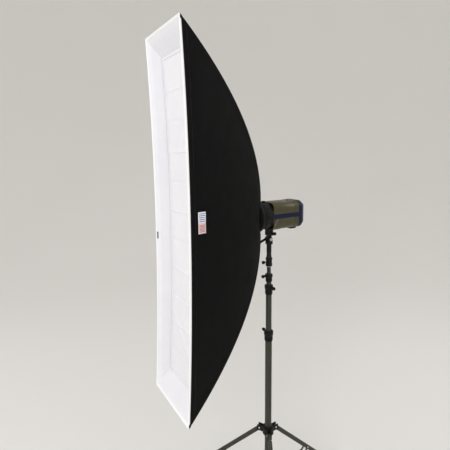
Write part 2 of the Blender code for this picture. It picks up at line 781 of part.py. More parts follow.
inlet = box(
    "mains_inlet",
    BLACK_PLASTIC,
    INLET_SPOT - inlet_half - Vector((0, INLET_DEEP, 0)),
    INLET_SPOT + inlet_half + Vector((0, INLET_PROUD, 0)),
)
wall = Vector((INLET_WALL, 0, INLET_WALL))
boolean(
    inlet,
    cutter_box(
        INLET_SPOT - inlet_half + wall - Vector((0, INLET_DEEP - INLET_WALL, 0)),
        INLET_SPOT + inlet_half - wall + THROUGH,
    ),
)
can = Vector((0, SHELL_Y + CAPACITOR_IN, AXIS_Z))
rod("flash_capacitor", FOIL, can, can + Vector((0, CAPACITOR_LONG, 0)), CAPACITOR_R)
foot_top = AXIS_Z - HEAD_HEIGHT / 2 - CAP_PROUD - GAP
bevelled(
    box(
        "rear_foot",
        RUBBER,
        (-FOOT_WIDE / 2, REAR_COLLAR_Y + FOOT_FROM_FRONT, foot_top - FOOT_HIGH),
        (FOOT_WIDE / 2, CAP_Y + FOOT_UNDER_CAP, foot_top),
    ),
    0.002,
    1,
)

# ---- tilting bracket ----
TILT = Vector((0, COLUMN_Y, TILT_Z))
HEAD_BOTTOM = AXIS_Z - HEAD_HEIGHT / 2 - GAP
DEEP = BRACKET_DEEP / 2
tongue = box(
    "tilt_tongue",
    BLACK_METAL,
    (-TONGUE_THICK / 2, COLUMN_Y - DEEP + CAST_STEP, TILT_Z),
    (TONGUE_THICK / 2, COLUMN_Y + DEEP - CAST_STEP, HEAD_BOTTOM - PLATE_TALL / 2),
)
block_bottom = HEAD_BOTTOM - BLOCK_TALL
tongue_extras = (
    box(
        "tongue_block",
        BLACK_METAL,
        (-BLOCK_WIDE / 2, COLUMN_Y - DEEP, block_bottom),
        (BLOCK_WIDE / 2, COLUMN_Y + DEEP, HEAD_BOTTOM - PLATE_TALL / 2),
    ),
    box(
        "tongue_plate",
        BLACK_METAL,
        (-BLOCK_WIDE / 2 + CAST_STEP, COLUMN_Y - PLATE_LEAD, HEAD_BOTTOM - PLATE_TALL),
        (BLOCK_WIDE / 2 - CAST_STEP, COLUMN_Y - PLATE_LEAD + PLATE_LONG, HEAD_BOTTOM),
    ),
    rod(
        "tongue_eye",
        BLACK_METAL,
        TILT - Vector((TONGUE_THICK / 2, 0, 0)),
        TILT + Vector((TONGUE_THICK / 2, 0, 0)),
        DEEP - CAST_STEP,
        24,
    ),
)
for extra in tongue_extras:
    boolean(tongue, extra, "UNION")
umbrella_z = block_bottom + UMBRELLA_RISE
ALONG_Y = Vector((0, 0.1, 0))
ALONG_X = Vector((0.1, 0, 0))
umbrella = Vector((0, COLUMN_Y, umbrella_z))
boolean(tongue, cutter_rod(umbrella - ALONG_Y, umbrella + ALONG_Y, UMBRELLA_R, 12))
boolean(tongue, cutter_rod(TILT - ALONG_X, TILT + ALONG_X, BOLT_R + RUNNING))
umbrella_screw = umbrella + Vector((BLOCK_WIDE / 2 + GAP, UMBRELLA_SCREW_BACK, 0))
thumbscrew("umbrella_screw", BLACK_PLASTIC, umbrella_screw, (1, 0, 0))

ear_inner = TONGUE_THICK / 2 + RUNNING
ear_outer = ear_inner + EAR_THICK
yoke = box(
    "tilt_yoke",
    BLACK_METAL,
    (-ear_outer, COLUMN_Y - DEEP, SOCKET_TOP + GAP),
    (ear_outer, COLUMN_Y + DEEP, SOCKET_TOP + YOKE_BASE_TALL),
)
for side in (1, -1):
    inner, outer = sorted((side * ear_inner, side * ear_outer))
    ear = box(
        f"yoke_ear_{'right' if side > 0 else 'left'}",
        BLACK_METAL,
        (inner, COLUMN_Y - DEEP, SOCKET_TOP + YOKE_BASE_TALL / 2),
        (outer, COLUMN_Y + DEEP, TILT_Z),
    )
    face, back = TILT + Vector((inner, 0, 0)), TILT + Vector((outer, 0, 0))
    top = rod(f"{ear.name}_top", BLACK_METAL, face, back, DEEP, 24)
    boolean(yoke, ear, "UNION")
    boolean(yoke, top, "UNION")
boolean(yoke, cutter_rod(TILT - ALONG_X, TILT + ALONG_X, BOLT_R + RUNNING))

# The bolt goes in from the right, and the lever's hub turns on its left end.
bolt_head = ear_outer + GAP
turned(
    "tilt_bolt",
    SATIN_STEEL,
    [
        (0, bolt_head + BOLT_HEAD_LONG),
        (BOLT_HEAD_R, bolt_head + BOLT_HEAD_LONG),
        (BOLT_HEAD_R, bolt_head),
        (BOLT_R, bolt_head),
        (BOLT_R, -bolt_head - LEVER_THICK - BOLT_PAST_LEVER),
        (0, -bolt_head - LEVER_THICK - BOLT_PAST_LEVER),
    ],
    TILT,
    (1, 0, 0),
    16,
    closed=False,
)
lever_inner = -bolt_head
lever_outer = lever_inner - LEVER_THICK
lever = rod(
    "tilt_lever",
    BLACK_PLASTIC,
    TILT + Vector((lever_inner, 0, 0)),
    TILT + Vector((lever_outer, 0, 0)),
    LEVER_HUB_R,
    20,
)
arm = box(
    "tilt_lever_arm",
    BLACK_PLASTIC,
    (-LEVER_THICK / 2, -LEVER_LONG, -LEVER_HIGH / 2),
    (LEVER_THICK / 2, 0, LEVER_HIGH / 2),
)
arm_middle = Vector((0, -LEVER_LONG / 2, 0))
arm_middle.rotate(Matrix.Rotation(LEVER_DROOP, 3, "X"))
arm.rotation_euler = (LEVER_DROOP, 0, 0)
arm.location = TILT + Vector(((lever_inner + lever_outer) / 2, 0, 0)) + arm_middle
boolean(lever, arm, "UNION")
boolean(lever, cutter_rod(TILT - ALONG_X, TILT, BOLT_R + RUNNING))

SPIGOT_ROOM = SPIGOT_R + RUNNING
turned(
    "stand_socket",
    SATIN_STEEL,
    [
        (0, SOCKET_TALL),
        (SOCKET_OUTER_R, SOCKET_TALL),
        (SOCKET_OUTER_R, SOCKET_COLLAR_TALL),
        (SOCKET_COLLAR_R, SOCKET_COLLAR_TALL - SOCKET_CHAMFER),
        (SOCKET_COLLAR_R, 0),
        (SPIGOT_ROOM, 0),
        (SPIGOT_ROOM, SPIGOT_TALL + SPIGOT_HEADROOM),
        (0, SPIGOT_TALL + SPIGOT_HEADROOM),
    ],
    (0, COLUMN_Y, SOCKET_BOTTOM),
    steps=20,
    closed=False,
)
thumbscrew(
    "socket_screw",
    BLACK_PLASTIC,
    (0, COLUMN_Y - SOCKET_COLLAR_R - GAP, SOCKET_BOTTOM + SOCKET_COLLAR_TALL * 0.5),
    (0, -1, 0),
)

# ---- stand: column ----
plug_r = TUBE_RADII[3] - TUBE_WALL - RUNNING
flange_r = TUBE_RADII[3] + SPIGOT_FLANGE_OUT
groove_r = SPIGOT_R - SPIGOT_GROOVE_DEEP
groove = [SPIGOT_FLANGE + height for height in SPIGOT_GROOVE]
turned(
    "spigot",
    SATIN_STEEL,
    [
        (0, SPIGOT_FLANGE + SPIGOT_TALL),
        (SPIGOT_R - 0.001, SPIGOT_FLANGE + SPIGOT_TALL),
        (SPIGOT_R, SPIGOT_FLANGE + SPIGOT_TALL - 0.001),
        (SPIGOT_R, groove[3]),
        (groove_r, groove[2]),
        (groove_r, groove[1]),
        (SPIGOT_R, groove[0]),
        (SPIGOT_R, SPIGOT_FLANGE),
        (flange_r, SPIGOT_FLANGE),
        (flange_r, 0),
        (plug_r, 0),
        (plug_r, -SPIGOT_PLUG),
        (0, -SPIGOT_PLUG),
    ],
    (0, COLUMN_Y, TUBE_TOP[3] + GAP),
    steps=16,
    closed=False,
)
for number, (radius, long, top) in enumerate(zip(TUBE_RADII, TUBE_LONG, TUBE_TOP), 1):
    profile = pipe(radius, radius - TUBE_WALL, -long, 0)
    turned(f"column_tube_{number}", TUBE_METAL, profile, (0, COLUMN_Y, top), steps=20)

SCREW_DIRECTIONS = ((-1, 0, 0), (1, 0, 0), (0, -1, 0))
for index in range(3):
    grip, tall = COLLAR_GRIP[index], COLLAR_TALL[index]
    own, upper_tube = TUBE_RADII[index] + GAP, TUBE_RADII[index + 1] + SLIDING
    outside = own + COLLAR_WALL
    bottom = COLLAR_BOTTOM[index]
    turned(
        f"lock_collar_{index + 1}",
        BLACK_PLASTIC,
        [
            (outside - 0.002, tall),
            (outside, tall - 0.003),
            (outside, tall * 0.62),
            (outside - 0.002, tall * 0.55),
            (own + COLLAR_WALL * 0.5, 0),
            (own, 0),
            (own, grip + GAP),
            (upper_tube, grip + GAP),
            (upper_tube, tall),
        ],
        (0, COLUMN_Y, bottom),
        steps=20,
    )
    direction = Vector(SCREW_DIRECTIONS[index])
    start = COLUMN + direction * (outside + GAP) + Vector((0, 0, bottom + tall * 0.8))
    thumbscrew(f"lock_screw_{index + 1}", BLACK_PLASTIC, start, direction)

# ---- stand: hub, legs, braces and base bracket ----
HUB_BORE = TUBE_RADII[0] + SLIDING
BASE_BORE = TUBE_RADII[0] + GAP


def outward(angle):
    return Vector((math.cos(angle), math.sin(angle), 0))


def place_on_leg(obj, angle, height):
    """Turns a piece that was built along +X about the column to one leg's direction."""
    turn = Matrix.Translation(COLUMN + Vector((0, 0, height))) @ Matrix.Rotation(angle, 4, "Z")
    obj.matrix_world = turn @ obj.matrix_basis
    return obj


hub = turned(
    "leg_hub",
    BLACK_PLASTIC,
    pipe(HUB_R, HUB_BORE, -HUB_TALL / 2, HUB_TALL / 2),
    (0, COLUMN_Y, HUB_Z),
    steps=24,
)
slot = LUG_THICK / 2 + RUNNING
cheek = slot + CHEEK_THICK
for number, angle in enumerate(LEG_DIRECTIONS, 1):
    for side, (inner, outer) in enumerate(((slot, cheek), (-cheek, -slot))):
        ear = box(
            f"hub_ear_{number}_{side}",
            BLACK_PLASTIC,
            (HUB_R - HUB_ARM_IN, inner, -HUB_TALL * ARM_SHARE / 2),
            (HINGE_R + HUB_ARM_OUT, outer, HUB_TALL * ARM_SHARE / 2),
        )
        boolean(hub, place_on_leg(ear, angle, HUB_Z), "UNION")
    pin_hole = cutter_rod((HINGE_R, -0.05, 0), (HINGE_R, 0.05, 0), PIN_R + RUNNING, 12)
    boolean(hub, place_on_leg(pin_hole, angle, HUB_Z))
hub_screw_direction = outward(math.radians(150))
thumbscrew(
    "hub_screw",
    BLACK_PLASTIC,
    COLUMN + hub_screw_direction * (HUB_R + GAP) + Vector((0, 0, HUB_Z)),
    hub_screw_direction,
)

ARM_HALF = LEG_R - CAST_STEP
base = turned(
    "base_bracket",
    BLACK_PLASTIC,
    pipe(BASE_R, BASE_BORE, -BASE_TALL / 2, BASE_TALL / 2),
    (0, COLUMN_Y, BASE_PIVOT_Z),
    steps=24,
)
for number, angle in enumerate(LEG_DIRECTIONS, 1):
    ear = box(
        f"base_arm_{number}",
        BLACK_PLASTIC,
        (BASE_R - BASE_ARM_IN, -ARM_HALF, -BASE_TALL * ARM_SHARE / 2),
        (HINGE_R + BASE_ARM_OUT, ARM_HALF, BASE_TALL * ARM_SHARE / 2),
    )
    boolean(base, place_on_leg(ear, angle, BASE_PIVOT_Z), "UNION")

leg_way = Vector((math.cos(LEG_ANGLE), 0, -math.sin(LEG_ANGLE)))
leg_up = Vector((math.sin(LEG_ANGLE), 0, math.cos(LEG_ANGLE)))
leg_turn = Matrix((leg_way, Vector((0, 1, 0)), leg_up)).transposed().to_4x4()
pivot_shift = Matrix.Translation((HINGE_R, 0, 0))


def set_on_leg(obj, angle):
    """Takes a piece built along +X from the hub's pivot to its place on one leg."""
    obj.matrix_basis = pivot_shift @ leg_turn @ obj.matrix_basis
    return place_on_leg(obj, angle, HUB_Z)


strap_inner = LEG_R + RUNNING
strap_outer = strap_inner + BRACE_THICK
brace_way = Vector((-math.cos(LEG_ANGLE), 0, -math.sin(LEG_ANGLE)))
brace_up = Vector((-math.sin(LEG_ANGLE), 0, math.cos(LEG_ANGLE)))
brace_turn = Matrix((brace_way, Vector((0, -1, 0)), brace_up)).transposed().to_4x4()
elbow = Vector((HINGE_R, 0, 0)) + leg_way * BRACE_LONG
brace_shift = Matrix.Translation(elbow)


def set_on_brace(obj, angle):
    """Takes a piece built along +X from the leg's elbow to its place on one brace."""
    obj.matrix_basis = brace_shift @ brace_turn @ obj.matrix_basis
    return place_on_leg(obj, angle, HUB_Z)


for number, angle in enumerate(LEG_DIRECTIONS, 1):
    tube_end = LEG_LONG - BOOT_SOLE
    leg = turned(
        f"leg_{number}",
        TUBE_METAL,
        pipe(LEG_R, LEG_R - LEG_WALL, LUG_REACH, tube_end),
        (0, 0, 0),
        (1, 0, 0),
        steps=14,
    )
    lug = box(
        f"leg_{number}_lug",
        TUBE_METAL,
        (0, -LUG_THICK / 2, -LUG_R),
        (LUG_REACH + LUG_PLUG, LUG_THICK / 2, LUG_R),
    )
    half = Vector((0, LUG_THICK / 2, 0))
    eye = rod(f"leg_{number}_eye", TUBE_METAL, -half, half, LUG_R, 20)
    half = Vector((0, cheek + PIN_PROUD, 0))
    pin = rod(f"leg_{number}_pin", TUBE_METAL, -half, half, PIN_R, 12)
    elbow_pin = rod(
        f"leg_{number}_elbow_pin",
        TUBE_METAL,
        (BRACE_LONG, -strap_outer - ELBOW_PIN_PROUD, 0),
        (BRACE_LONG, strap_outer + ELBOW_PIN_PROUD, 0),
        PIN_R,
        12,
    )
    for piece in (leg, lug, eye, pin, elbow_pin):
        set_on_leg(piece, angle)
    for piece in (lug, eye, pin, elbow_pin):
        boolean(leg, piece, "UNION")

    boot = rod(f"boot_{number}", RUBBER, (LEG_LONG - BOOT_LONG, 0, 0), (LEG_LONG, 0, 0), BOOT_R, 16)
    hole = cutter_rod(
        (LEG_LONG - BOOT_LONG - 0.01, 0, 0), (tube_end + RUNNING, 0, 0), LEG_R + RUNNING, 16
    )
    floor = cutter_box((-1.5, -1.5, -1), (1.5, 1.5, 0))
    set_on_leg(boot, angle)
    set_on_leg(hole, angle)
    boolean(boot, hole)
    boolean(boot, floor)

    long = BRACE_LONG + BRACE_WIDE / 2
    brace = box(
        f"brace_{number}",
        TUBE_METAL,
        (-BRACE_WIDE / 2, strap_inner, -BRACE_WIDE / 2),
        (long, strap_outer, BRACE_WIDE / 2),
    )
    strap = box(
        f"brace_{number}_strap",
        TUBE_METAL,
        (-BRACE_WIDE / 2, -strap_outer, -BRACE_WIDE / 2),
        (long, -strap_inner, BRACE_WIDE / 2),
    )
    web = box(
        f"brace_{number}_web",
        TUBE_METAL,
        (BRACE_WEB_FROM_LEG, -strap_outer, strap_inner),
        (BRACE_LONG - BRACE_WEB_FROM_BASE, strap_outer, strap_inner + BRACE_THICK),
    )
    walls = [
        box(
            f"brace_{number}_wall_{side}",
            TUBE_METAL,
            (BRACE_WEB_FROM_LEG, low, BRACE_WIDE / 2 - BRACE_THICK),
            (BRACE_LONG - BRACE_WEB_FROM_BASE, low + BRACE_THICK, strap_inner + BRACE_THICK),
        )
        for side, low in enumerate((strap_inner, -strap_outer))
    ]
    for piece in (brace, strap, web, *walls):
        set_on_brace(piece, angle)
    for piece in (strap, web, *walls):
        boolean(brace, piece, "UNION")
    elbow_hole = cutter_rod((0, -0.05, 0), (0, 0.05, 0), PIN_R + RUNNING, 12)
    boolean(brace, set_on_brace(elbow_hole, angle))


# ---- empties on the joints ----
def hang(name, place, names):
    """Hangs pieces, where they stand, from an empty on their joint's axis."""
    pivot = bpy.data.objects.new(name, None)
    pivot.location = place
    parts.objects.link(pivot)
    for piece_name in names:
        piece = bpy.data.objects[piece_name]
        piece.parent = pivot
        piece.matrix_parent_inverse = Matrix.Translation(place).inverted()


for number, angle in enumerate(LEG_DIRECTIONS, 1):
    turn = Matrix.Rotation(angle, 3, "Z")
    hub_pivot = COLUMN + Vector((0, 0, HUB_Z))
    leg_pivot = hub_pivot + turn @ Vector((HINGE_R, 0, 0))
    hang(f"leg_{number}_pivot", leg_pivot, [f"leg_{number}", f"boot_{number}"])
    hang(f"brace_{number}_pivot", hub_pivot + turn @ elbow, [f"brace_{number}"])
HEAD_NODES = [
    "tilt_tongue",
    "body_shell_top",
    "body_shell_bottom",
    "side_trim_right",
    "side_trim_left",
    "rear_collar",
    "rear_cap",
    "control_panel",
    "mains_inlet",
    "rear_foot",
    "front_housing",
    "bayonet_adapter",
    "flash_tube",
    "modelling_lamp",
    "flash_capacitor",
]
hang("head_pivot", TILT, HEAD_NODES)
SHELL_NODES = ["shell_side_right", "shell_side_left", "shell_top", "shell_bottom"]
hang("softbox_pivot", Vector((0, RING_Y, AXIS_Z)), [*SHELL_NODES, "front_lip", "front_diffuser", *ROD_NAMES])
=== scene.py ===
"""Looks of a strip softbox on a flash head, tilting bracket and folding light stand."""

import json
import math

import bmesh
import bpy
from mathutils import Matrix, Quaternion, Vector, noise

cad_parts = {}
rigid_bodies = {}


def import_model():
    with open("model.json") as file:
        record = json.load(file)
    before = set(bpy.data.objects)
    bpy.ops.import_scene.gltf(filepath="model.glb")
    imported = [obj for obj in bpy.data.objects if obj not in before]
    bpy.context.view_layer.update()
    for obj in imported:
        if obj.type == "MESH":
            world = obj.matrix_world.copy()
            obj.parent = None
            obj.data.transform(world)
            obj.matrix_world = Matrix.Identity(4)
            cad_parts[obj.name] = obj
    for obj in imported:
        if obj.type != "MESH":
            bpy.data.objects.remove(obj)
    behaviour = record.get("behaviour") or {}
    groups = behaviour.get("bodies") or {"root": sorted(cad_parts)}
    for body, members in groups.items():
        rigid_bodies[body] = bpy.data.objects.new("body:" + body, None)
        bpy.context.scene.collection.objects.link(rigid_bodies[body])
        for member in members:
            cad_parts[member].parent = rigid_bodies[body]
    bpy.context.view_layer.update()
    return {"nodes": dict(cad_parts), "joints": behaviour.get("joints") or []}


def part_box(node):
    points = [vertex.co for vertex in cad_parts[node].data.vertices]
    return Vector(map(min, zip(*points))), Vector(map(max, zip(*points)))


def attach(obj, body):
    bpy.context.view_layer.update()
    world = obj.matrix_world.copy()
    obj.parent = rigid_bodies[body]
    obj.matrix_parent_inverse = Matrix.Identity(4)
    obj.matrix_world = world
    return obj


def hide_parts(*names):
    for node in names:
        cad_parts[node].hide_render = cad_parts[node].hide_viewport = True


# ---- the imported frame ----
# The working model's nodes, bodies and joints.
for item in list(bpy.data.objects):
    bpy.data.objects.remove(item)
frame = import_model()
joints = {joint["name"]: joint for joint in frame["joints"]}


# ---- studio: camera, pale floor, soft light ----
# The camera stands a little in front of the box's right side, above its middle. The pale floor
# sweeps up all round, far from the part, so that no horizon shows.
rim_low, rim_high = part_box("front_lip")
FRONT = Vector((0, rim_low.y, (rim_low.z + rim_high.z) / 2))
camera_data = bpy.data.cameras.new("camera")
camera_data.lens = 29.55
camera_data.shift_x = -0.0137
camera_data.shift_y = -0.0599
camera = bpy.data.objects.new("camera", camera_data)
bpy.context.scene.collection.objects.link(camera)
bpy.context.scene.camera = camera
camera.location = FRONT + Vector((1.4259, -0.5815, 0.3003))
CAMERA_DIP = math.radians(6.73)
CAMERA_ROLL = math.radians(-0.41)
sight = Vector((-0.8440, 0.5363, 0)).normalized() * math.cos(CAMERA_DIP)
sight.z = -math.sin(CAMERA_DIP)
level = sight.to_track_quat("-Z", "Y")
camera.rotation_euler = (level @ Quaternion((0, 0, 1), CAMERA_ROLL)).to_euler()
bpy.context.scene.view_settings.view_transform = "Standard"

world = bpy.data.worlds.new("studio")
bpy.context.scene.world = world
world.use_nodes = True
world.node_tree.nodes["Background"].inputs["Color"].default_value = (0.68, 0.67, 0.655, 1)
world.node_tree.nodes["Background"].inputs["Strength"].default_value = 1.25


def soft_light(name, place, aim, size, power):
    """A large square lamp that points at a spot."""
    lamp = bpy.data.lights.new(name, "AREA")
    lamp.size = size
    lamp.energy = power
    obj = bpy.data.objects.new(name, lamp)
    bpy.context.scene.collection.objects.link(obj)
    obj.location = place
    obj.rotation_euler = (Vector(aim) - Vector(place)).to_track_quat("-Z", "Y").to_euler()


soft_light("key", (2.6, -3.4, 3.0), FRONT, 2.2, 92)
soft_light("fill", (-2.6, -3.6, 2.4), FRONT, 2.5, 22)
soft_light("back", (1.5, 3.5, 3.2), (0, 0, 1.4), 2.0, 30)

FLOOR_FLAT_R = 4.0
FLOOR_SWEEP = 9.0
floor_bm = bmesh.new()
bmesh.ops.create_grid(floor_bm, x_segments=120, y_segments=120, size=16)
for vert in floor_bm.verts:
    vert.co.z = max(0.0, vert.co.to_2d().length - FLOOR_FLAT_R) ** 2 / FLOOR_SWEEP
floor_mesh = bpy.data.meshes.new("floor")
floor_bm.to_mesh(floor_mesh)
floor_bm.free()
floor_mesh.shade_smooth()
floor = bpy.data.objects.new("floor", floor_mesh)
bpy.context.scene.collection.objects.link(floor)


# ---- cloth shell ----
# Four black nylon panels, silver inside, cut to the bow of the sprung rods and sewn together along
# them. They are stretched tight, so they show shallow pulls and fine crinkles. A hem of doubled
# cloth runs behind the long front edges.
class Value:
    """A socket on its way to a shader. Arithmetic on it adds the nodes for the sum."""

    def __init__(self, finish, socket):
        self.finish = finish
        self.socket = socket

    def __add__(self, other):
        return self.finish.math("ADD", self, other)

    def __mul__(self, other):
        return self.finish.math("MULTIPLY", self, other)

    def __sub__(self, other):
        return self.finish.math("SUBTRACT", self, other)

    def __rsub__(self, other):
        return self.finish.math("SUBTRACT", other, self)

    def __gt__(self, other):
        return self.finish.math("GREATER_THAN", self, other)

    def __lt__(self, other):
        return self.finish.math("LESS_THAN", self, other)

    __radd__ = __add__
    __rmul__ = __mul__


class Finish:
    """One material: its shader, and the nodes that give it variation over the surface."""

    def __init__(self, name, colour, roughness, metallic=0.0, **fixed):
        self.material = bpy.data.materials.new(name)
        self.material.use_nodes = True
        self.tree = self.material.node_tree
        self.shader = self.tree.nodes["Principled BSDF"]
        self.feed("Base Color", colour)
        self.feed("Roughness", roughness)
        self.feed("Metallic", metallic)
        for socket, value in fixed.items():
            self.feed(socket.replace("_", " "), value)
        places = self.tree.nodes.new("ShaderNodeTexCoord")
        self.place = Value(self, places.outputs["Object"])
        self.cloth = Value(self, places.outputs["UV"])

    def set(self, socket, value):
        if isinstance(value, Value):
            self.tree.links.new(value.socket, socket)
        elif isinstance(value, tuple) and len(value) == 3 and len(socket.default_value) == 4:
            socket.default_value = (*value, 1)
        else:
            socket.default_value = value

    def feed(self, socket, value):
        self.set(self.shader.inputs[socket], value)
        return self

    def node(self, kind, settings, inputs, output=0):
        made = self.tree.nodes.new(kind)
        for key, value in settings.items():
            setattr(made, key, value)
        for key, value in inputs.items():
            self.set(made.inputs[key], value)
        return Value(self, made.outputs[output])

    def math(self, operation, first, second):
        return self.node("ShaderNodeMath", {"operation": operation}, {0: first, 1: second})

    def noise(self, size, detail=2.0, where=None):
        """Cloudy variation from 0 to 1, with blotches of this size in metres."""
        inputs = {"Vector": where or self.place, "Scale": 1 / size, "Detail": detail}
        return self.node("ShaderNodeTexNoise", {}, inputs)

    def bands(self, pitch, axis, where=None):
        """Even ridges from 0 to 1, a pitch apart along an axis."""
        settings = {"wave_type": "BANDS", "bands_direction": axis}
        inputs = {"Vector": where or self.place, "Scale": math.tau / 20 / pitch}
        return self.node("ShaderNodeTexWave", settings, inputs, "Fac")

    def mix(self, factor, first, second):
        inputs = {0: factor, 6: first, 7: second}
        return self.node("ShaderNodeMix", {"data_type": "RGBA"}, inputs, 2)

    def cloud(self, size, detail, first, second):
        """Clouds the colour between two tones, and gives back the cloud."""
        cloud = self.noise(size, detail)
        self.feed("Base Color", self.mix(cloud, first, second))
        return cloud

    def axis(self, where, letter):
        return self.node("ShaderNodeSeparateXYZ", {}, {0: where}, letter)

    def bump(self, height, depth):
        """Raises the surface by up to depth metres where height goes from 0 to 1."""
        normal = self.node("ShaderNodeBump", {}, {"Height": height, "Distance": depth})
        return self.feed("Normal", normal)


THREAD = 0.0007
STITCH_PITCH = 0.004
nylon = Finish("black_nylon", (0.002, 0.002, 0.0022), 0.6, Specular_IOR_Level=0.10)
nylon_cloud = nylon.cloud(0.05, 4, (0.0012, 0.0012, 0.0013), (0.0026, 0.0026, 0.0029))
nylon.feed("Roughness", 0.52 + 0.22 * nylon_cloud)
nylon_weave = nylon.bands(THREAD, "X", nylon.cloth) + nylon.bands(THREAD, "Y", nylon.cloth)
nylon_crinkle = nylon.noise(0.012, 3, nylon.cloth)
nylon.bump(0.08 * nylon_weave + nylon_crinkle, 0.0007)

silver = Finish("silver_lining", (0.62, 0.62, 0.62), 0.38, 0.85)
silver.bump(silver.noise(0.006, 3, silver.cloth), 0.0008)

BOW = 0.455
RIM_BOW = 0.022
NECK_X = 0.055
NECK_Z = 0.070
CLOTH = 0.0012
BINDING_DEEP = 0.008
RIM_X = rim_high.x
RIM_Z = (rim_high.z - rim_low.z) / 2
LIP_SLOPE = RIM_Z / (2 * BOW)
PANEL_TOP = RIM_Z - (BINDING_DEEP + CLOTH + 0.0004) * LIP_SLOPE


def bow_depth(height):
    """How far the rods' bow lies behind the rim plane at a height from the axis."""
    return BOW * (1 - (height / RIM_Z) ** 2)


def half_width(height):
    """Half the width between the rods, where they stand at a height from the axis."""
    share = (height - NECK_Z) / (RIM_Z - NECK_Z)
    return NECK_X + (RIM_X - NECK_X) * share


def rim_bow(share):
    return RIM_BOW * (1 - share**2)


def panel_height(v):
    return PANEL_TOP + (NECK_Z - PANEL_TOP) * v


def drape(place, stretch, seed):
    """Depth of shallow pulls and crinkles in tight cloth, from about -1 to 1."""
    where = Vector((place.x * stretch[0], place.y * stretch[1], place.z * stretch[2] + seed))
    broad = noise.noise(where * 2.2)
    pull = 0.5 - abs(noise.noise(where * 6.5 + Vector((7, 0, 0))))
    fine = noise.noise(where * 21)
    return 0.9 * broad + 0.55 * pull + 0.22 * fine


def flatness(across, v):
    """Falls to 0 along the rods and at both ends of a panel, where the cloth is held."""
    return (1 - across**4) * min(1, 12 * v) * min(1, 10 * (1 - v))


def side_place(side, proud=0.0):
    def point(u, v):
        across = 2 * u - 1
        rods = panel_height(v)
        back = bow_depth(rods) + rim_bow(across) * (1 - v) ** 2
        place = FRONT + Vector((side * half_width(rods), back, rods * across))
        swell = 0.0034 * drape(place, (0, 1.6, 1), 3 * side) * flatness(across, v)
        place.x += side * (swell + proud)
        return place

    return point


def end_place(side, proud=0.0):
    def point(u, v):
        across = 2 * u - 1
        rods = panel_height(v)
        place = FRONT + Vector(((half_width(rods) - CLOTH / 2) * across, bow_depth(rods), side * rods))
        lift = 0.0030 * drape(place, (1, 1.2, 1.2), 11 + side) * flatness(across, v) + proud
        slope = math.atan2(2 * BOW * rods, RIM_Z**2)
        place.y += lift * math.cos(slope)
        place.z += side * lift * math.sin(slope)
        return place

    return point


def piece(name, bm, finish, body, slot, smooth=35):
    """Makes a bmesh into a finished piece that rides on a body."""
    mesh = bpy.data.meshes.new(name)
    bm.to_mesh(mesh)
    bm.free()
    mesh.materials.append(finish.material)
    if smooth:
        mesh.shade_smooth()
        mesh.set_sharp_from_angle(angle=math.radians(smooth))
    obj = bpy.data.objects.new(name, mesh)
    bpy.context.scene.collection.objects.link(obj)
    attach(obj, body)
    return obj


def cloth_sheet(name, point, counts, flat, facing, finish, slot, thick=CLOTH, body="softbox"):
    """A panel of cloth: a grid laid over point(u, v), with its threads mapped in metres."""
    bm = bmesh.new()
    threads = bm.loops.layers.uv.new("threads")
    bmesh.ops.create_grid(bm, x_segments=counts[0], y_segments=counts[1], size=0.5)
    for face in bm.faces:
        for loop in face.loops:
            loop[threads].uv = (
                (loop.vert.co.x + 0.5) * flat[0],
                (loop.vert.co.y + 0.5) * flat[1],
            )
    for vert in bm.verts:
        vert.co = point(vert.co.x + 0.5, vert.co.y + 0.5)
    bmesh.ops.remove_doubles(bm, verts=bm.verts, dist=1e-6)
    bm.normal_update()
    if sum(face.normal.dot(facing(face.calc_center_median())) for face in bm.faces) < 0:
        bmesh.ops.reverse_faces(bm, faces=bm.faces)
    obj = piece(name, bm, finish, body, slot, 60)
    solid = obj.modifiers.new("thickness", "SOLIDIFY")
    solid.thickness = thick
    solid.offset = -1
    return obj


def towards(*direction):
    way = Vector(direction)
    return lambda place: way


def stitch_row(name, route, pitch, finish, body, slot):
    """A row of thread stitches along a route of (place, outward) pairs."""
    bm = bmesh.new()
    carried = 0.0
    for (start, out), (end, _) in zip(route, route[1:]):
        way = end - start
        along = way.normalized()
        across = out.cross(along).normalized()
        turn = Matrix((along, across, along.cross(across))).transposed().to_4x4()
        while carried < way.length:
            size = Matrix.Diagonal((pitch * 0.62, 0.0006, 0.0005, 1))
            spot = Matrix.Translation(start + along * carried)
            bmesh.ops.create_cube(bm, size=1, matrix=spot @ turn @ size)
            carried += pitch
        carried -= way.length
    return piece(name, bm, finish, body, slot, 0)


SIDE_FLAT = (2 * RIM_Z, 0.53)
END_FLAT = (2 * RIM_X, 0.87)
HEM_SHARE = 0.030
HEM_WIDE = 0.025
thread = Finish("black_thread", (0.012, 0.012, 0.013), 0.7)
thread.bump(thread.noise(0.0006), 0.0002)

for side, word in ((1, "right"), (-1, "left")):
    panel = cloth_sheet(
        f"cloth_{word}", side_place(side), (72, 150), SIDE_FLAT, towards(side, 0, 0), nylon, "black_cloth"
    )
    panel.data.materials.append(silver.material)
    panel.modifiers["thickness"].material_offset = 1
    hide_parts(f"shell_side_{word}")

    def hem_place(u, v, on=side_place(side, 0.0009)):
        return on(u, v * HEM_SHARE)

    hem = cloth_sheet(
        f"hem_{word}", hem_place, (160, 4), (2 * RIM_Z, HEM_WIDE), towards(side, 0, 0), nylon, "black_cloth"
    )
    rows = []
    for share in (0.12, 0.88):
        on = side_place(side, 0.0011)
        route = [(on(0.01 + 0.98 * i / 160, share * HEM_SHARE), Vector((side, 0, 0))) for i in range(161)]
        number = len(rows) + 1
        rows.append(
            stitch_row(
                f"hem_stitches_{word}_{number}", route, STITCH_PITCH, thread, "softbox", "black_cloth"
            )
        )

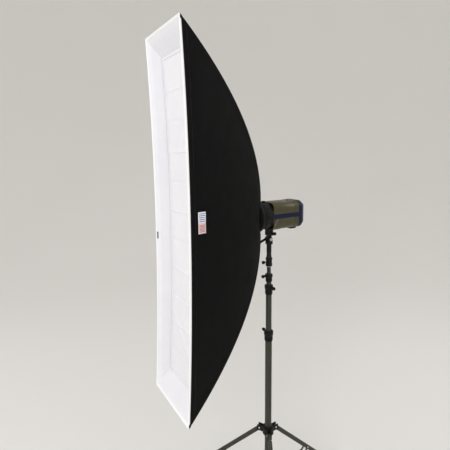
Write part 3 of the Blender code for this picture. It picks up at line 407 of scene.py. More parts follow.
for side, word in ((1, "upper"), (-1, "lower")):
    panel = cloth_sheet(
        f"cloth_{word}", end_place(side), (28, 150), END_FLAT, towards(0, 0, side), nylon, "black_cloth"
    )
    panel.data.materials.append(silver.material)
    panel.modifiers["thickness"].material_offset = 1
    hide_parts("shell_top" if side > 0 else "shell_bottom")


# ---- corner seams ----
# The panels meet in a bound seam over each rod, which stands up as a fine round ridge.
def piping(name, route, radius, finish, body):
    """A round ridge, wire or bar along a route of points."""
    curve = bpy.data.curves.new(name, "CURVE")
    curve.dimensions = "3D"
    curve.bevel_depth = radius
    curve.bevel_resolution = 3
    curve.use_fill_caps = True
    spline = curve.splines.new("POLY")
    spline.points.add(len(route) - 1)
    for spot, place in zip(spline.points, route):
        spot.co = (*place, 1)
    curve.materials.append(finish.material)
    obj = bpy.data.objects.new(name, curve)
    bpy.context.scene.collection.objects.link(obj)
    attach(obj, body)
    return obj


tape = Finish("black_tape", (0.006, 0.006, 0.0065), 0.75, Specular_IOR_Level=0.2)
tape.bump(tape.noise(0.002, 3), 0.0005)
for number, (side_x, side_z) in enumerate(((1, 1), (-1, 1), (-1, -1), (1, -1)), 1):
    heights = [panel_height(i / 60) for i in range(61)]
    seam = [
        FRONT + Vector((side_x * half_width(height), bow_depth(height), side_z * height))
        for height in heights
    ]
    piping(f"corner_seam_{number}", seam, 0.0017, tape, "softbox")


# ---- white lip ----
# A strip of white cloth sewn inside the rim, turned in past the rods' ends. Its corners are mitred,
# and its front edge is bound with bright white tape.
LONG_STEPS = 120
SHORT_STEPS = 28
ROUND_STEPS = 2 * (LONG_STEPS + SHORT_STEPS)
CORNER_STEPS = (0, LONG_STEPS, LONG_STEPS + SHORT_STEPS, ROUND_STEPS - SHORT_STEPS)


def round_rim(step):
    """Shares (across, up) of a step round the rim, from the lower right corner upwards."""
    step %= ROUND_STEPS
    if step <= LONG_STEPS:
        return 1, 2 * step / LONG_STEPS - 1
    step -= LONG_STEPS
    if step <= SHORT_STEPS:
        return 1 - 2 * step / SHORT_STEPS, 1
    step -= SHORT_STEPS
    if step <= LONG_STEPS:
        return -1, 1 - 2 * step / LONG_STEPS
    step -= LONG_STEPS
    return 2 * step / SHORT_STEPS - 1, -1


def on_rim(step, inset, depth):
    """A place round the rim, set in from it and behind it, on the taper that the rods set."""
    across, up = round_rim(step)
    wide = RIM_X - inset
    tall = RIM_Z - inset - depth * LIP_SLOPE
    return FRONT + Vector((wide * across, depth + rim_bow(up), tall * up))


def in_section(stations, v):
    """Inset and depth at a share of the way along a folded section."""
    spot = v * (len(stations) - 1)
    index = min(int(spot), len(stations) - 2)
    first, second = stations[index], stations[index + 1]
    return [a + (b - a) * (spot - index) for a, b in zip(first, second)]


white = Finish("white_diffusion", (0.80, 0.80, 0.835), 0.85, Specular_IOR_Level=0.2)
white.cloud(0.09, 3, (0.77, 0.77, 0.815), (0.83, 0.83, 0.855))
white_weave = white.bands(THREAD, "X", white.cloth) + white.bands(THREAD, "Y", white.cloth)
white.bump(0.10 * white_weave + 0.7 * white.noise(0.010, 3, white.cloth), 0.0006)
white_tape = Finish("white_tape", (0.90, 0.90, 0.92), 0.7)
white_tape.bump(white_tape.noise(0.0015, 3), 0.0005)
white_thread = Finish("white_thread", (0.84, 0.84, 0.86), 0.7)
white_thread.bump(white_thread.noise(0.0006), 0.0002)

LIP_SECTION = ((0.004, 0.006), (0.013, 0.020), (0.0165, 0.045), (0.020, 0.0715))
LIP_LONG = 2 * (2 * RIM_X + 2 * RIM_Z)


def lip_place(u, v):
    step = u * ROUND_STEPS
    inset, depth = in_section(LIP_SECTION, v)
    place = on_rim(step, inset, depth)
    across, up = round_rim(step)
    ripple = 0.0016 * noise.noise(place * 16) * math.sin(math.pi * v)
    if abs(across) == 1:
        place.x -= across * ripple * (1 - up**8)
    else:
        place.z -= up * ripple * (1 - across**8)
    return place


def inwards(place):
    return Vector((-place.x, -0.2, FRONT.z - place.z))


lip = cloth_sheet(
    "white_lip", lip_place, (ROUND_STEPS, 18), (LIP_LONG, 0.085), inwards, white, "white_cloth", 0.0010
)
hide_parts("front_lip")


def binding_place(u, v):
    turn = math.tau * v
    return on_rim(u * ROUND_STEPS, 0.0029 + 0.0027 * math.cos(turn), 0.0052 + 0.0050 * math.sin(turn))


bm = bmesh.new()
bmesh.ops.create_grid(bm, x_segments=ROUND_STEPS, y_segments=12, size=0.5)
for vert in bm.verts:
    vert.co = binding_place(vert.co.x + 0.5, vert.co.y + 0.5)
bmesh.ops.remove_doubles(bm, verts=bm.verts, dist=1e-6)
bmesh.ops.recalc_face_normals(bm, faces=bm.faces)
binding = piece("rim_binding", bm, white_tape, "softbox", "white_cloth", 60)

for number, step in enumerate(CORNER_STEPS, 1):
    stops = [in_section(LIP_SECTION, 0.12 + 0.88 * i / 12) for i in range(13)]
    route = [on_rim(step, inset + 0.0012, depth) for inset, depth in stops]
    piping(f"mitre_seam_{number}", route, 0.0011, white_thread, "softbox")


# ---- corner caps and pull tab ----
# Black tape caps each corner of the shell behind the rim's binding. A tape tab on the left edge
# pulls the diffuser out.
CAP_REACH = 1.1
for number, step in enumerate(CORNER_STEPS, 1):
    bm = bmesh.new()
    bmesh.ops.create_grid(bm, x_segments=16, y_segments=16, size=0.5)
    for vert in bm.verts:
        turn = math.tau * (vert.co.y + 0.5)
        inset = 0.0012 + 0.0026 * math.cos(turn)
        depth = 0.0090 + 0.0050 * math.sin(turn)
        vert.co = on_rim(step + 2 * CAP_REACH * vert.co.x, inset, depth)
    bmesh.ops.remove_doubles(bm, verts=bm.verts, dist=1e-6)
    bmesh.ops.recalc_face_normals(bm, faces=bm.faces)
    cap = piece(f"corner_cap_{number}", bm, tape, "softbox", "black_cloth", 60)
    solid = cap.modifiers.new("thickness", "SOLIDIFY")
    solid.thickness = 0.0006
    solid.offset = -1


def bevel_all(bm, edge, segments):
    bmesh.ops.bevel(
        bm,
        geom=list(bm.edges),
        offset=edge,
        offset_type="OFFSET",
        segments=segments,
        profile=0.5,
        affect="EDGES",
        material=-1,
    )


def block(name, low, high, edge, finish, body, slot, segments=3):
    """A block between two corners with rounded edges."""
    low, high = Vector(low), Vector(high)
    bm = bmesh.new()
    bmesh.ops.create_cube(bm, size=1)
    bmesh.ops.scale(bm, vec=high - low, verts=bm.verts)
    bmesh.ops.translate(bm, vec=(low + high) / 2, verts=bm.verts)
    bevel_all(bm, edge, segments)
    return piece(name, bm, finish, body, slot, 35)


TAB_LOW, TAB_HIGH = -0.083, -0.051
block(
    "pull_tab",
    FRONT + Vector((-RIM_X + 0.0055, RIM_BOW + 0.0050, TAB_LOW)),
    FRONT + Vector((-RIM_X + 0.0070, RIM_BOW + 0.0125, TAB_HIGH)),
    0.0006,
    tape,
    "softbox",
    "black_cloth",
)



# ---- front diffuser ----
# White diffusion cloth, held round its edge inside the lip by a hook-and-loop border. It keeps the
# creases of its folding: one across about every 130 mm, and a few long slanting ones.
DIFFUSER_X = 0.1548
DIFFUSER_Z = 0.7212
DIFFUSER_DEEP = 0.0664
FOLDS = 11


def fold(distance, wide):
    """A soft ridge over a crease, 1 on it and 0 from a width away."""
    share = max(0.0, 1 - abs(distance) / wide)
    return share * share * (3 - 2 * share)


def diffuser_place(u, v):
    across, up = 2 * u - 1, 2 * v - 1
    place = FRONT + Vector((DIFFUSER_X * across, DIFFUSER_DEEP + rim_bow(up), DIFFUSER_Z * up))
    held = (1 - across**6) * (1 - up**20)
    spacing = 2 * DIFFUSER_Z / FOLDS
    nearest = round(place.z / spacing)
    wander = 0.004 * noise.noise(Vector((place.x * 9, nearest * 3.1, 0)))
    crease = fold(place.z - nearest * spacing + wander, 0.007) * (1 if nearest % 2 else -0.7)
    slant = 0.0
    for start, end in ((0.30, 0.78), (-0.15, 0.42), (-0.62, 0.02), (-0.86, -0.30), (-0.55, -0.95)):
        slant += fold(up - start - (end - start) * (across + 1) / 2, 0.030)
    puff = noise.noise(Vector((place.x * 7, 2, place.z * 3.2)))
    small = noise.noise(Vector((place.x * 24, 5, place.z * 17)))
    place.y -= held * (0.0050 * crease + 0.0034 * slant + 0.0042 * puff + 0.0009 * small)
    return place


diffuser = cloth_sheet(
    "diffusion_cloth",
    diffuser_place,
    (48, 300),
    (2 * DIFFUSER_X, 2 * DIFFUSER_Z),
    towards(0, -1, 0),
    white,
    "white_cloth",
    0.0008,
)
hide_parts("front_diffuser")
BORDER_WIDE = 0.014
BORDER_LIFT = 0.0009


def border_place(u, v):
    across, up = round_rim(u * ROUND_STEPS)
    across *= 1 - BORDER_WIDE * v / DIFFUSER_X
    up *= 1 - BORDER_WIDE * v / DIFFUSER_Z
    return diffuser_place((across + 1) / 2, (up + 1) / 2) - Vector((0, BORDER_LIFT, 0))


border = cloth_sheet(
    "diffuser_border",
    border_place,
    (ROUND_STEPS, 3),
    (2 * (DIFFUSER_X + DIFFUSER_Z) * 2, BORDER_WIDE),
    towards(0, -1, 0),
    white,
    "white_cloth",
    0.0008,
)
border_route = [
    (border_place(i / ROUND_STEPS, 0.85) - Vector((0, 0.0002, 0)), Vector((0, -1, 0)))
    for i in range(ROUND_STEPS + 1)
]
border_stitches = stitch_row(
    "border_stitches", border_route, STITCH_PITCH, white_thread, "softbox", "white_cloth"
)


# ---- sewn tag ----
# A small printed tag, stitched to the right panel behind its hem: an abstract pattern of bars, blue
# above and red below.
TAG_WIDE = 0.036
TAG_TALL = 0.086
TAG_BEHIND_EDGE = 0.034
TAG_ABOVE_AXIS = 0.036

print_finish = Finish("printed_tag", (0.8, 0.8, 0.82), 0.55)
tag_x = print_finish.axis(print_finish.cloth, "X") * (1 / TAG_WIDE)
tag_y = print_finish.axis(print_finish.cloth, "Y") * (1 / TAG_TALL)
upper = tag_y > 0.5
inside = (tag_x > 0.12) * (tag_x < 0.88)
blue_bars = (print_finish.bands(0.0075, "Y", print_finish.cloth) > 0.62) * inside * upper * (tag_y < 0.93)
red_bars = (print_finish.bands(0.0052, "Y", print_finish.cloth) > 0.60) * inside * (tag_y < 0.44)
ground = print_finish.mix(upper, (0.72, 0.55, 0.56), (0.80, 0.80, 0.84))
with_blue = print_finish.mix(blue_bars, ground, (0.06, 0.12, 0.38))
print_finish.feed("Base Color", print_finish.mix(red_bars * (tag_y > 0.06), with_blue, (0.38, 0.07, 0.09)))
print_finish.bump(print_finish.bands(0.0005, "X", print_finish.cloth), 0.0001)


def panel_at(side, deep, up):
    """A place on a side panel, behind its front edge and above the axis."""
    low, high = 0.0, 1.0
    for _ in range(30):
        v = (low + high) / 2
        rods = panel_height(v)
        across = up / rods
        reach = bow_depth(rods) + rim_bow(min(1, abs(across))) * (1 - v) ** 2
        low, high = (v, high) if reach < deep else (low, v)
    return side_place(side)((across + 1) / 2, v)


tag_front = bow_depth(PANEL_TOP) + RIM_BOW + TAG_BEHIND_EDGE


def tag_place(u, v):
    up = TAG_TALL * (v - 0.5) + TAG_ABOVE_AXIS
    place = panel_at(1, tag_front + TAG_WIDE * u, up)
    place.x += 0.0016 + 0.0012 * math.sin(math.pi * u) * math.sin(math.pi * v)
    return place


tag = cloth_sheet(
    "printed_tag",
    tag_place,
    (12, 28),
    (TAG_WIDE, TAG_TALL),
    towards(1, 0, 0),
    print_finish,
    "white_cloth",
    0.0005,
)
tag_edges = []
for step in range(81):
    turn = step / 20
    side = int(turn) % 4
    share = 0.05 + 0.9 * (turn - int(turn))
    u, v = ((share, 0.03), (0.95, share), (1 - share, 0.97), (0.05, 1 - share))[side]
    tag_edges.append((tag_place(u, v) + Vector((0.0002, 0, 0)), Vector((1, 0, 0))))
tag_stitches = stitch_row("tag_stitches", tag_edges, 0.003, white_thread, "softbox", "white_cloth")


# ---- speed ring and rods ----
# A cast ring, powder-coated black, in which four sprung steel rods stand. An elastic neck of cloth
# closes the shell round its front edge.
powder = Finish("powder_coat", (0.004, 0.004, 0.004), 0.5, 0.0, Specular_IOR_Level=0.2)
powder_cloud = powder.cloud(0.02, 3, (0.003, 0.003, 0.003), (0.006, 0.006, 0.006))
powder.feed("Roughness", 0.42 + 0.18 * powder_cloud)
powder.bump(powder.noise(0.0011, 3), 0.0003)
spring_steel = Finish("spring_steel", (0.50, 0.50, 0.50), 0.3, 1.0)
spring_steel.feed("Roughness", 0.25 + 0.2 * spring_steel.noise(0.004, 3))
for corner in ("top_right", "top_left", "bottom_left", "bottom_right"):
    rod = frame["nodes"][f"rod_{corner}"]
    rod.data.materials.clear()
    rod.data.materials.append(spring_steel.material)


def break_edges(obj, width, angle):
    """Rounds the edges of a piece that turn by more than an angle."""
    bevel = obj.modifiers.new("edges", "BEVEL")
    bevel.width = width
    bevel.segments = 2
    bevel.limit_method = "ANGLE"
    bevel.angle_limit = math.radians(angle)


def dressed(node, name, finish, body, slot, edge=0.0005, smooth=35):
    """A node's own shape as one clean skin with its sharp edges broken."""
    bm = bmesh.new()
    bm.from_mesh(frame["nodes"][node].data)
    bmesh.ops.remove_doubles(bm, verts=bm.verts, dist=0.00002)
    bmesh.ops.dissolve_limit(bm, angle_limit=math.radians(2), verts=bm.verts, edges=bm.edges)
    obj = piece(name, bm, finish, body, slot, smooth)
    if edge:
        break_edges(obj, edge, smooth)
    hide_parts(node)
    return obj


dressed("speed_ring", "cast_ring", powder, "softbox", "black_casting", 0.0008)
AXIS = Vector((0, 0, FRONT.z))
RING_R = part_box("speed_ring")[1].x
NECK_BACK = joints["softbox_turn"]["pos_m"][1]


def neck_place(u, v):
    turn = math.tau * u
    cosine, sine = math.cos(turn), math.sin(turn)
    square = 1 / max(abs(cosine) / NECK_X, abs(sine) / NECK_Z)
    gather = 0.0008 * math.sin(60 * turn) * math.sin(math.pi * v)
    reach = square + (RING_R + 0.0012 - square) * min(1, v / 0.7) + gather
    back = NECK_BACK - 0.003 + 0.0065 * v
    return AXIS + Vector((reach * cosine, back, reach * sine))


def from_axis(place):
    return Vector((place.x, 0.3 * RING_R, place.z - AXIS.z))


neck = cloth_sheet(
    "elastic_neck", neck_place, (240, 8), (0.50, 0.02), from_axis, tape, "black_cloth", 0.0008
)


# ---- thumbscrews ----
# Steel screws with moulded five-lobed knobs: one on the ring, one for the umbrella, one on the
# socket, one on each collar of the column and one on the legs' hub.
moulded = Finish("moulded_black", (0.004, 0.004, 0.004), 0.5, Specular_IOR_Level=0.2)
moulded_cloud = moulded.cloud(0.015, 3, (0.003, 0.003, 0.003), (0.0065, 0.0065, 0.006))
moulded.feed("Roughness", 0.40 + 0.2 * moulded_cloud)
moulded.bump(moulded.noise(0.0008, 2), 0.00015)
turned_steel = Finish("turned_steel", (0.55, 0.55, 0.53), 0.3, 1.0)
turned_steel.feed("Roughness", 0.22 + 0.2 * turned_steel.noise(0.003, 3))
turned_steel.bump(turned_steel.noise(0.0007, 2), 0.00008)
blackened = Finish("blackened_steel", (0.010, 0.010, 0.0095), 0.36, 0.4, Specular_IOR_Level=0.3)
blackened.feed("Roughness", 0.30 + 0.16 * blackened.noise(0.003, 3))
blackened.bump(blackened.noise(0.0007, 2), 0.00008)


def spun(name, profile, place, direction, finish, body, slot, steps=56, closed=True, lobes=0, smooth=35):
    """A turned piece: (radius, height) points spun round an axis, with lobes round it if asked."""
    bm = bmesh.new()
    verts = [bm.verts.new((radius, 0, height)) for radius, height in profile]
    pairs = list(zip(verts, verts[1:]))
    if closed:
        pairs.append((verts[-1], verts[0]))
    edges = [bm.edges.new(pair) for pair in pairs]
    bmesh.ops.spin(
        bm, geom=verts + edges, axis=(0, 0, 1), cent=(0, 0, 0), angle=math.tau, steps=steps, use_merge=True
    )
    bmesh.ops.remove_doubles(bm, verts=bm.verts, dist=1e-6)
    bmesh.ops.recalc_face_normals(bm, faces=bm.faces)
    for vert in bm.verts:
        if lobes:
            turn = math.atan2(vert.co.y, vert.co.x)
            swell = 1 - 0.14 * (0.5 - 0.5 * math.cos(lobes * turn)) ** 1.5
            vert.co.x *= swell
            vert.co.y *= swell
    turn = Vector(direction).to_track_quat("Z", "Y").to_matrix().to_4x4()
    bmesh.ops.transform(bm, matrix=Matrix.Translation(place) @ turn, verts=bm.verts)
    return piece(name, bm, finish, body, slot, smooth)


STEM_R = 0.003
STEM_LONG = 0.012
SCREW_GAP = 0.0004
KNOB_PROFILE = (
    (0.0, 0.0248),
    (0.0048, 0.0250),
    (0.0066, 0.0244),
    (0.0080, 0.0225),
    (0.0089, 0.0195),
    (0.0090, 0.0165),
    (0.0084, 0.0138),
    (0.0070, 0.0124),
    (0.0045, 0.0120),
    (0.0, 0.0120),
)
stem_profile = [(0, STEM_LONG + 0.001), (STEM_R * 0.92, STEM_LONG + 0.001)]
for turn in range(9):
    height = STEM_LONG - 0.0012 * turn - 0.0004
    stem_profile += [(STEM_R * 0.98, height), (STEM_R * 0.86, height - 0.0006)]
stem_profile += [(STEM_R * 0.86, 0), (0, 0)]
SCREWS = (
    "ring_lock",
    "umbrella_screw",
    "socket_screw",
    "hub_screw",
    "lock_screw_1",
    "lock_screw_2",
    "lock_screw_3",
)
for screw in SCREWS:
    node = "ring_lock_screw" if screw == "ring_lock" else screw
    finish, slot = (powder, "black_casting") if screw == "ring_lock" else (moulded, "black_plastic")
    joint, body = joints[f"{screw}_turn"], f"{screw}_body"
    direction = Vector(joint["axis"])
    start = Vector(joint["pos_m"]) + direction * SCREW_GAP
    knob = spun(f"{node}_knob", KNOB_PROFILE, start, direction, finish, body, slot, 60, False, 5)
    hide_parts(node)
    spun(f"{node}_stem", stem_profile, start, direction, blackened, body, slot, 24, False)


# ---- bayonet adapter and front housing ----
# The adapter's flange and sleeve hold the ring; the black front housing behind it carries the lamps.
adapter_low, adapter_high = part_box("bayonet_adapter")
bell_low, bell_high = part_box("front_housing")
FLANGE_R = adapter_high.x
SLEEVE_R = 0.0494
BORE_R = 0.042
FLANGE = 0.011
FLANGE_Y = adapter_high.y - FLANGE
adapter = spun(
    "turned_adapter",
    [
        (FLANGE_R - 0.0010, FLANGE),
        (FLANGE_R, FLANGE - 0.0010),
        (FLANGE_R, 0.0062),
        (FLANGE_R - 0.0012, 0.0056),
        (FLANGE_R - 0.0012, 0.0044),
        (FLANGE_R, 0.0038),
        (FLANGE_R, 0.0008),
        (FLANGE_R - 0.0008, 0),
        (SLEEVE_R, 0),
        (SLEEVE_R, adapter_low.y - FLANGE_Y + 0.001),
        (SLEEVE_R - 0.001, adapter_low.y - FLANGE_Y),
        (BORE_R, adapter_low.y - FLANGE_Y),
        (BORE_R, FLANGE),
    ],
    AXIS + Vector((0, FLANGE_Y, 0)),
    (0, 1, 0),
    powder,
    "head",
    "black_casting",
    72,
)
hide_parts("bayonet_adapter")

BELL_LONG = bell_high.y - bell_low.y
BELL_R = bell_high.x
BELL_WALL = 0.004
bell_profile = [
    (BELL_R - 0.0005, BELL_LONG),
    (BELL_R, BELL_LONG - 0.0006),
    (BELL_R, BELL_LONG * 0.80),
    (BELL_R - 0.0012, BELL_LONG * 0.785),
    (BELL_R - 0.0012, BELL_LONG * 0.765),
    (BELL_R, BELL_LONG * 0.75),
    (BELL_R, BELL_LONG * 0.38),
    (BELL_R - 0.0010, BELL_LONG * 0.30),
    (0.0605, 0.0015),
    (0.0590, 0),
    (BORE_R, 0),
    (BORE_R, BELL_WALL),
    (0.056, BELL_WALL),
    (BELL_R - BELL_WALL, BELL_LONG * 0.4),
    (BELL_R - BELL_WALL, BELL_LONG),
]
bell_at = AXIS + Vector((0, bell_low.y, 0))
bell = spun("moulded_bell", bell_profile, bell_at, (0, 1, 0), moulded, "head", "black_plastic", 72)
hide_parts("front_housing")
dressed("bayonet_release", "release_slider", moulded, "release", "black_plastic", 0.0008)
release_low, release_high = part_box("bayonet_release")
RIDGES = 5
for number in range(RIDGES):
    middle = release_low.y + (release_high.y - release_low.y) * (0.22 + 0.14 * number)
    ends = (release_low.x + 0.0015, 0, release_high.x - 0.0015)
    ridge = [Vector((x, middle, release_high.z)) for x in ends]
    piping(f"release_ridge_{number + 1}", ridge, 0.0006, moulded, "release")

clear_glass = Finish("lamp_glass", (0.92, 0.92, 0.90), 0.06, Transmission_Weight=0.6, IOR=1.45)
clear_glass.feed("Roughness", 0.05 + 0.08 * clear_glass.noise(0.004))
sleeve = Finish("capacitor_sleeve", (0.03, 0.04, 0.07), 0.45)
sleeve.cloud(0.01, 2, (0.025, 0.035, 0.06), (0.04, 0.05, 0.085))
for node, finish in (
    ("flash_tube", clear_glass),
    ("modelling_lamp", clear_glass),
    ("flash_capacitor", sleeve),
):
    lamp = frame["nodes"][node]
    lamp.data.materials.clear()
    lamp.data.materials.append(finish.material)


# ---- flash head body ----
# Two bent covers in champagne lacquer, closed along both sides by blue strips, with a rear collar and
# a blue chamfered cap. A slim grey line slants over the front corner of each side.
champagne = Finish("champagne_lacquer", (0.075, 0.070, 0.036), 0.42, 0.6)
champagne.cloud(0.04, 3, (0.064, 0.059, 0.030), (0.086, 0.080, 0.042))
champagne.feed("Roughness", 0.32 + 0.14 * champagne.noise(0.012, 4))
champagne.bump(champagne.noise(0.0009, 3), 0.00012)
blue = Finish("blue_moulding", (0.002, 0.004, 0.030), 0.42, Specular_IOR_Level=0.25)
blue_cloud = blue.cloud(0.02, 3, (0.0016, 0.0032, 0.024), (0.0026, 0.0052, 0.038))
blue.feed("Roughness", 0.30 + 0.16 * blue_cloud)
blue.bump(blue.noise(0.0009, 2), 0.00012)

shell_low, shell_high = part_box("body_shell_top")
collar_low, collar_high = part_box("rear_collar")
cap_low, cap_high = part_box("rear_cap")
HEAD_X = shell_high.x
HEAD_Z = shell_high.z - AXIS.z
HEAD_CORNER = 0.030
HEAD_WALL = 0.002
TRIM_HALF = 0.0114
COLLAR_PROUD = 0.0008


def outline(bm, grow, y, corner=HEAD_CORNER):
    """Edges of a rounded rectangle across the head's axis, grown from the body's outline."""
    made = bmesh.ops.create_grid(bm, x_segments=1, y_segments=1, size=1)["verts"]
    bmesh.ops.scale(bm, vec=(HEAD_X + grow, HEAD_Z + grow, 1), verts=made)
    bmesh.ops.bevel(
        bm,
        geom=made,
        offset=max(corner + grow, 0.006),
        offset_type="OFFSET",
        segments=10,
        profile=0.5,
        affect="VERTICES",
        material=-1,
    )
    face = max(bm.faces, key=lambda item: len(item.verts) * (not item.tag))
    verts = list(face.verts)
    edges = list(face.edges)
    bmesh.ops.delete(bm, geom=[face], context="FACES_ONLY")
    for vert in verts:
        vert.co = Vector((vert.co.x, y, AXIS.z + vert.co.y))
    return edges


def skin(name, stations, finish, body, slot, edge=0.0005, closed=True):
    """Skin over outlines of the head: (grow, y) each, the last joined to the first."""
    bm = bmesh.new()
    rings = [outline(bm, grow, y) for grow, y in stations]
    pairs = list(zip(rings, rings[1:]))
    if closed:
        pairs.append((rings[-1], rings[0]))
    for first, second in pairs:
        bmesh.ops.bridge_loops(bm, edges=first + second)
    if not closed:
        bmesh.ops.holes_fill(bm, edges=rings[0] + rings[-1])
    bmesh.ops.recalc_face_normals(bm, faces=bm.faces)
    obj = piece(name, bm, finish, body, slot, 30)
    break_edges(obj, edge, 30)
    return obj


for side, word in ((1, "upper"), (-1, "lower")):
    bm = bmesh.new()
    edges = outline(bm, 0, shell_low.y)
    grown = bmesh.ops.extrude_edge_only(bm, edges=edges)["geom"]
    moved = [item for item in grown if isinstance(item, bmesh.types.BMVert)]
    bmesh.ops.translate(bm, vec=(0, shell_high.y - shell_low.y, 0), verts=moved)
    bmesh.ops.bisect_plane(
        bm,
        geom=list(bm.verts) + list(bm.edges) + list(bm.faces),
        plane_co=AXIS + Vector((0, 0, side * TRIM_HALF)),
        plane_no=(0, 0, side),
        clear_inner=True,
    )
    bm.normal_update()
    if sum(face.normal.dot(face.calc_center_median() - AXIS) for face in bm.faces) < 0:
        bmesh.ops.reverse_faces(bm, faces=bm.faces)
    cover = piece(f"{word}_cover", bm, champagne, "head", "champagne_shell", 35)
    solid = cover.modifiers.new("thickness", "SOLIDIFY")
    solid.thickness = HEAD_WALL
    solid.offset = -1
    break_edges(cover, 0.0004, 50)
    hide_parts("body_shell_top" if side > 0 else "body_shell_bottom")

dressed("side_trim_right", "blue_strip_right", blue, "head", "blue_plastic", 0.0006)
dressed("side_trim_left", "blue_strip_left", blue, "head", "blue_plastic", 0.0006)
collar = skin(
    "back_collar",
    [
        (COLLAR_PROUD, collar_low.y),
        (COLLAR_PROUD, collar_high.y),
        (-HEAD_WALL, collar_high.y),
        (-HEAD_WALL, collar_low.y),
    ],
    champagne,
    "head",
    "champagne_shell",
)
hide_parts("rear_collar")
CAP_LONG = cap_high.y - cap_low.y
CAP_BEND = cap_low.y + CAP_LONG * 0.45
CHAMFER = 0.016
CAP_RIM = 0.020
cap = skin(
    "blue_cap",
    [
        (0.0015, cap_low.y),
        (0.0015, CAP_BEND - 0.003),
        (0.0008, CAP_BEND + 0.001),
        (-CHAMFER + 0.001, cap_high.y - 0.001),
        (-CHAMFER - 0.001, cap_high.y),
        (-CAP_RIM, cap_high.y),
        (-CAP_RIM, cap_high.y - 0.006),
        (-CHAMFER * 0.7, cap_high.y - 0.014),
        (-0.003, CAP_BEND - 0.003),
        (-0.003, cap_low.y),
    ],
    blue,
    "head",
    "blue_plastic",
)
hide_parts("rear_cap")


cheek_grey = Finish("light_grey_cheek", (0.13, 0.13, 0.115), 0.4, 0.3)
cheek_grey.cloud(0.02, 3, (0.11, 0.11, 0.10), (0.15, 0.15, 0.135))
cheek_grey.bump(cheek_grey.noise(0.001, 2), 0.0001)
for side, word in ((1, "right"), (-1, "left")):
    block(
        f"collar_inlay_{word}",
        (min(side * (HEAD_X - 0.001), side * (HEAD_X + 0.0014)), collar_low.y + 0.0002, AXIS.z - 0.011),
        (max(side * (HEAD_X - 0.001), side * (HEAD_X + 0.0014)), collar_high.y - 0.0002, AXIS.z + 0.011),
        0.0004,
        blue,
        "head",
        "blue_plastic",
    )
    bm = bmesh.new()
    cheek_line = ((0.002, -0.045), (0.008, -0.045), (0.030, -0.0125), (0.023, -0.0125))
    corners = [bm.verts.new((side * HEAD_X, shell_low.y + y, AXIS.z + z)) for y, z in cheek_line]
    bm.faces.new(corners)
    grown = bmesh.ops.extrude_face_region(bm, geom=list(bm.faces))["geom"]
    raised = [item for item in grown if isinstance(item, bmesh.types.BMVert)]
    bmesh.ops.translate(bm, vec=(side * 0.0012, 0, 0), verts=raised)
    bmesh.ops.recalc_face_normals(bm, faces=bm.faces)
    bevel_all(bm, 0.0004, 2)
    piece(f"grey_cheek_{word}", bm, cheek_grey, "head", "champagne_shell", 35)
block(
    "cover_catch",
    (-0.006, shell_high.y - 0.006, AXIS.z + HEAD_Z - 0.0005),
    (0.006, shell_high.y + 0.005, AXIS.z + HEAD_Z + 0.0032),
    0.0010,
    champagne,
    "head",
    "champagne_shell",
)


# ---- rear panel and controls ----
# A black panel closes the cap. It carries the power dial in its ring of ticks, the test button, the
# rocker switch and the mains inlet with its three blades.
dressed("control_panel", "rear_panel", moulded, "head", "black_plastic", 0.0003)
dial_at = Vector(joints["power_dial_turn"]["pos_m"])
DIAL_R = 0.011
DIAL_LONG = 0.013
dial_profile = [
    (0, DIAL_LONG - 0.0006),
    (DIAL_R * 0.62, DIAL_LONG - 0.0006),
    (DIAL_R * 0.70, DIAL_LONG),
    (DIAL_R * 0.82, DIAL_LONG),
    (DIAL_R * 0.88, DIAL_LONG - 0.0007),
    (DIAL_R * 0.97, 0.0035),
    (DIAL_R, 0.0030),
    (DIAL_R, 0.0004),
    (0.003, 0.0004),
    (0.003, -0.006),
    (0, -0.006),
]
dial = spun("dial_knob", dial_profile, dial_at, (0, 1, 0), moulded, "dial", "black_plastic", 72, False)
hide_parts("power_dial")
mark_paint = Finish("white_marks", (0.75, 0.75, 0.73), 0.6)
mark_paint.bump(mark_paint.noise(0.0008), 0.00005)
block(
    "dial_pointer",
    dial_at + Vector((-0.0006, DIAL_LONG - 0.0003, 0.0030)),
    dial_at + Vector((0.0006, DIAL_LONG + 0.0004, 0.0086)),
    0.0002,
    mark_paint,
    "dial",
    "black_plastic",
)
bm = bmesh.new()
TICKS = 11
for tick in range(TICKS):
    turn = math.radians(225 - 270 * tick / (TICKS - 1))
    spot = Matrix.Translation(dial_at + 0.0152 * Vector((math.cos(turn), 0, math.sin(turn))))
    lean = Matrix.Rotation(-turn, 4, "Y")
    long = 0.0034 if tick % 5 == 0 else 0.0022
    bmesh.ops.create_cube(bm, size=1, matrix=spot @ lean @ Matrix.Diagonal((long, 0.0005, 0.0007, 1)))
piece("dial_ticks", bm, mark_paint, "head", "black_plastic", 0)

button_low, button_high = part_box("test_button")
button_r = (button_high.x - button_low.x) / 2
button_long = button_high.y - button_low.y
button = spun(
    "round_button",
    [
        (0, button_long - 0.0004),
        (button_r * 0.6, button_long - 0.0003),
        (button_r * 0.9, button_long),
        (button_r, button_long - 0.0006),
        (button_r, 0),
        (0, 0),
    ],
    Vector(((button_low.x + button_high.x) / 2, button_low.y, (button_low.z + button_high.z) / 2)),
    (0, 1, 0),
    blue,
    "button",
    "blue_plastic",
    40,
    False,
)
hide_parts("test_button")
dressed("power_switch", "rocker", moulded, "switch", "black_plastic", 0.0008)
dressed("mains_inlet", "inlet_body", moulded, "head", "black_plastic", 0.0003)
inlet_low, inlet_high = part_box("mains_inlet")
inlet_middle = (inlet_low + inlet_high) / 2
for number, (x, z) in enumerate(((-0.005, -0.002), (0.005, -0.002), (0, 0.003)), 1):
    block(
        f"inlet_blade_{number}",
        inlet_middle + Vector((x - 0.0011, -0.0065, z - 0.0022)),
        inlet_middle + Vector((x + 0.0011, 0.0050, z + 0.0022)),
        0.0003,
        turned_steel,
        "head",
        "satin_steel",
    )
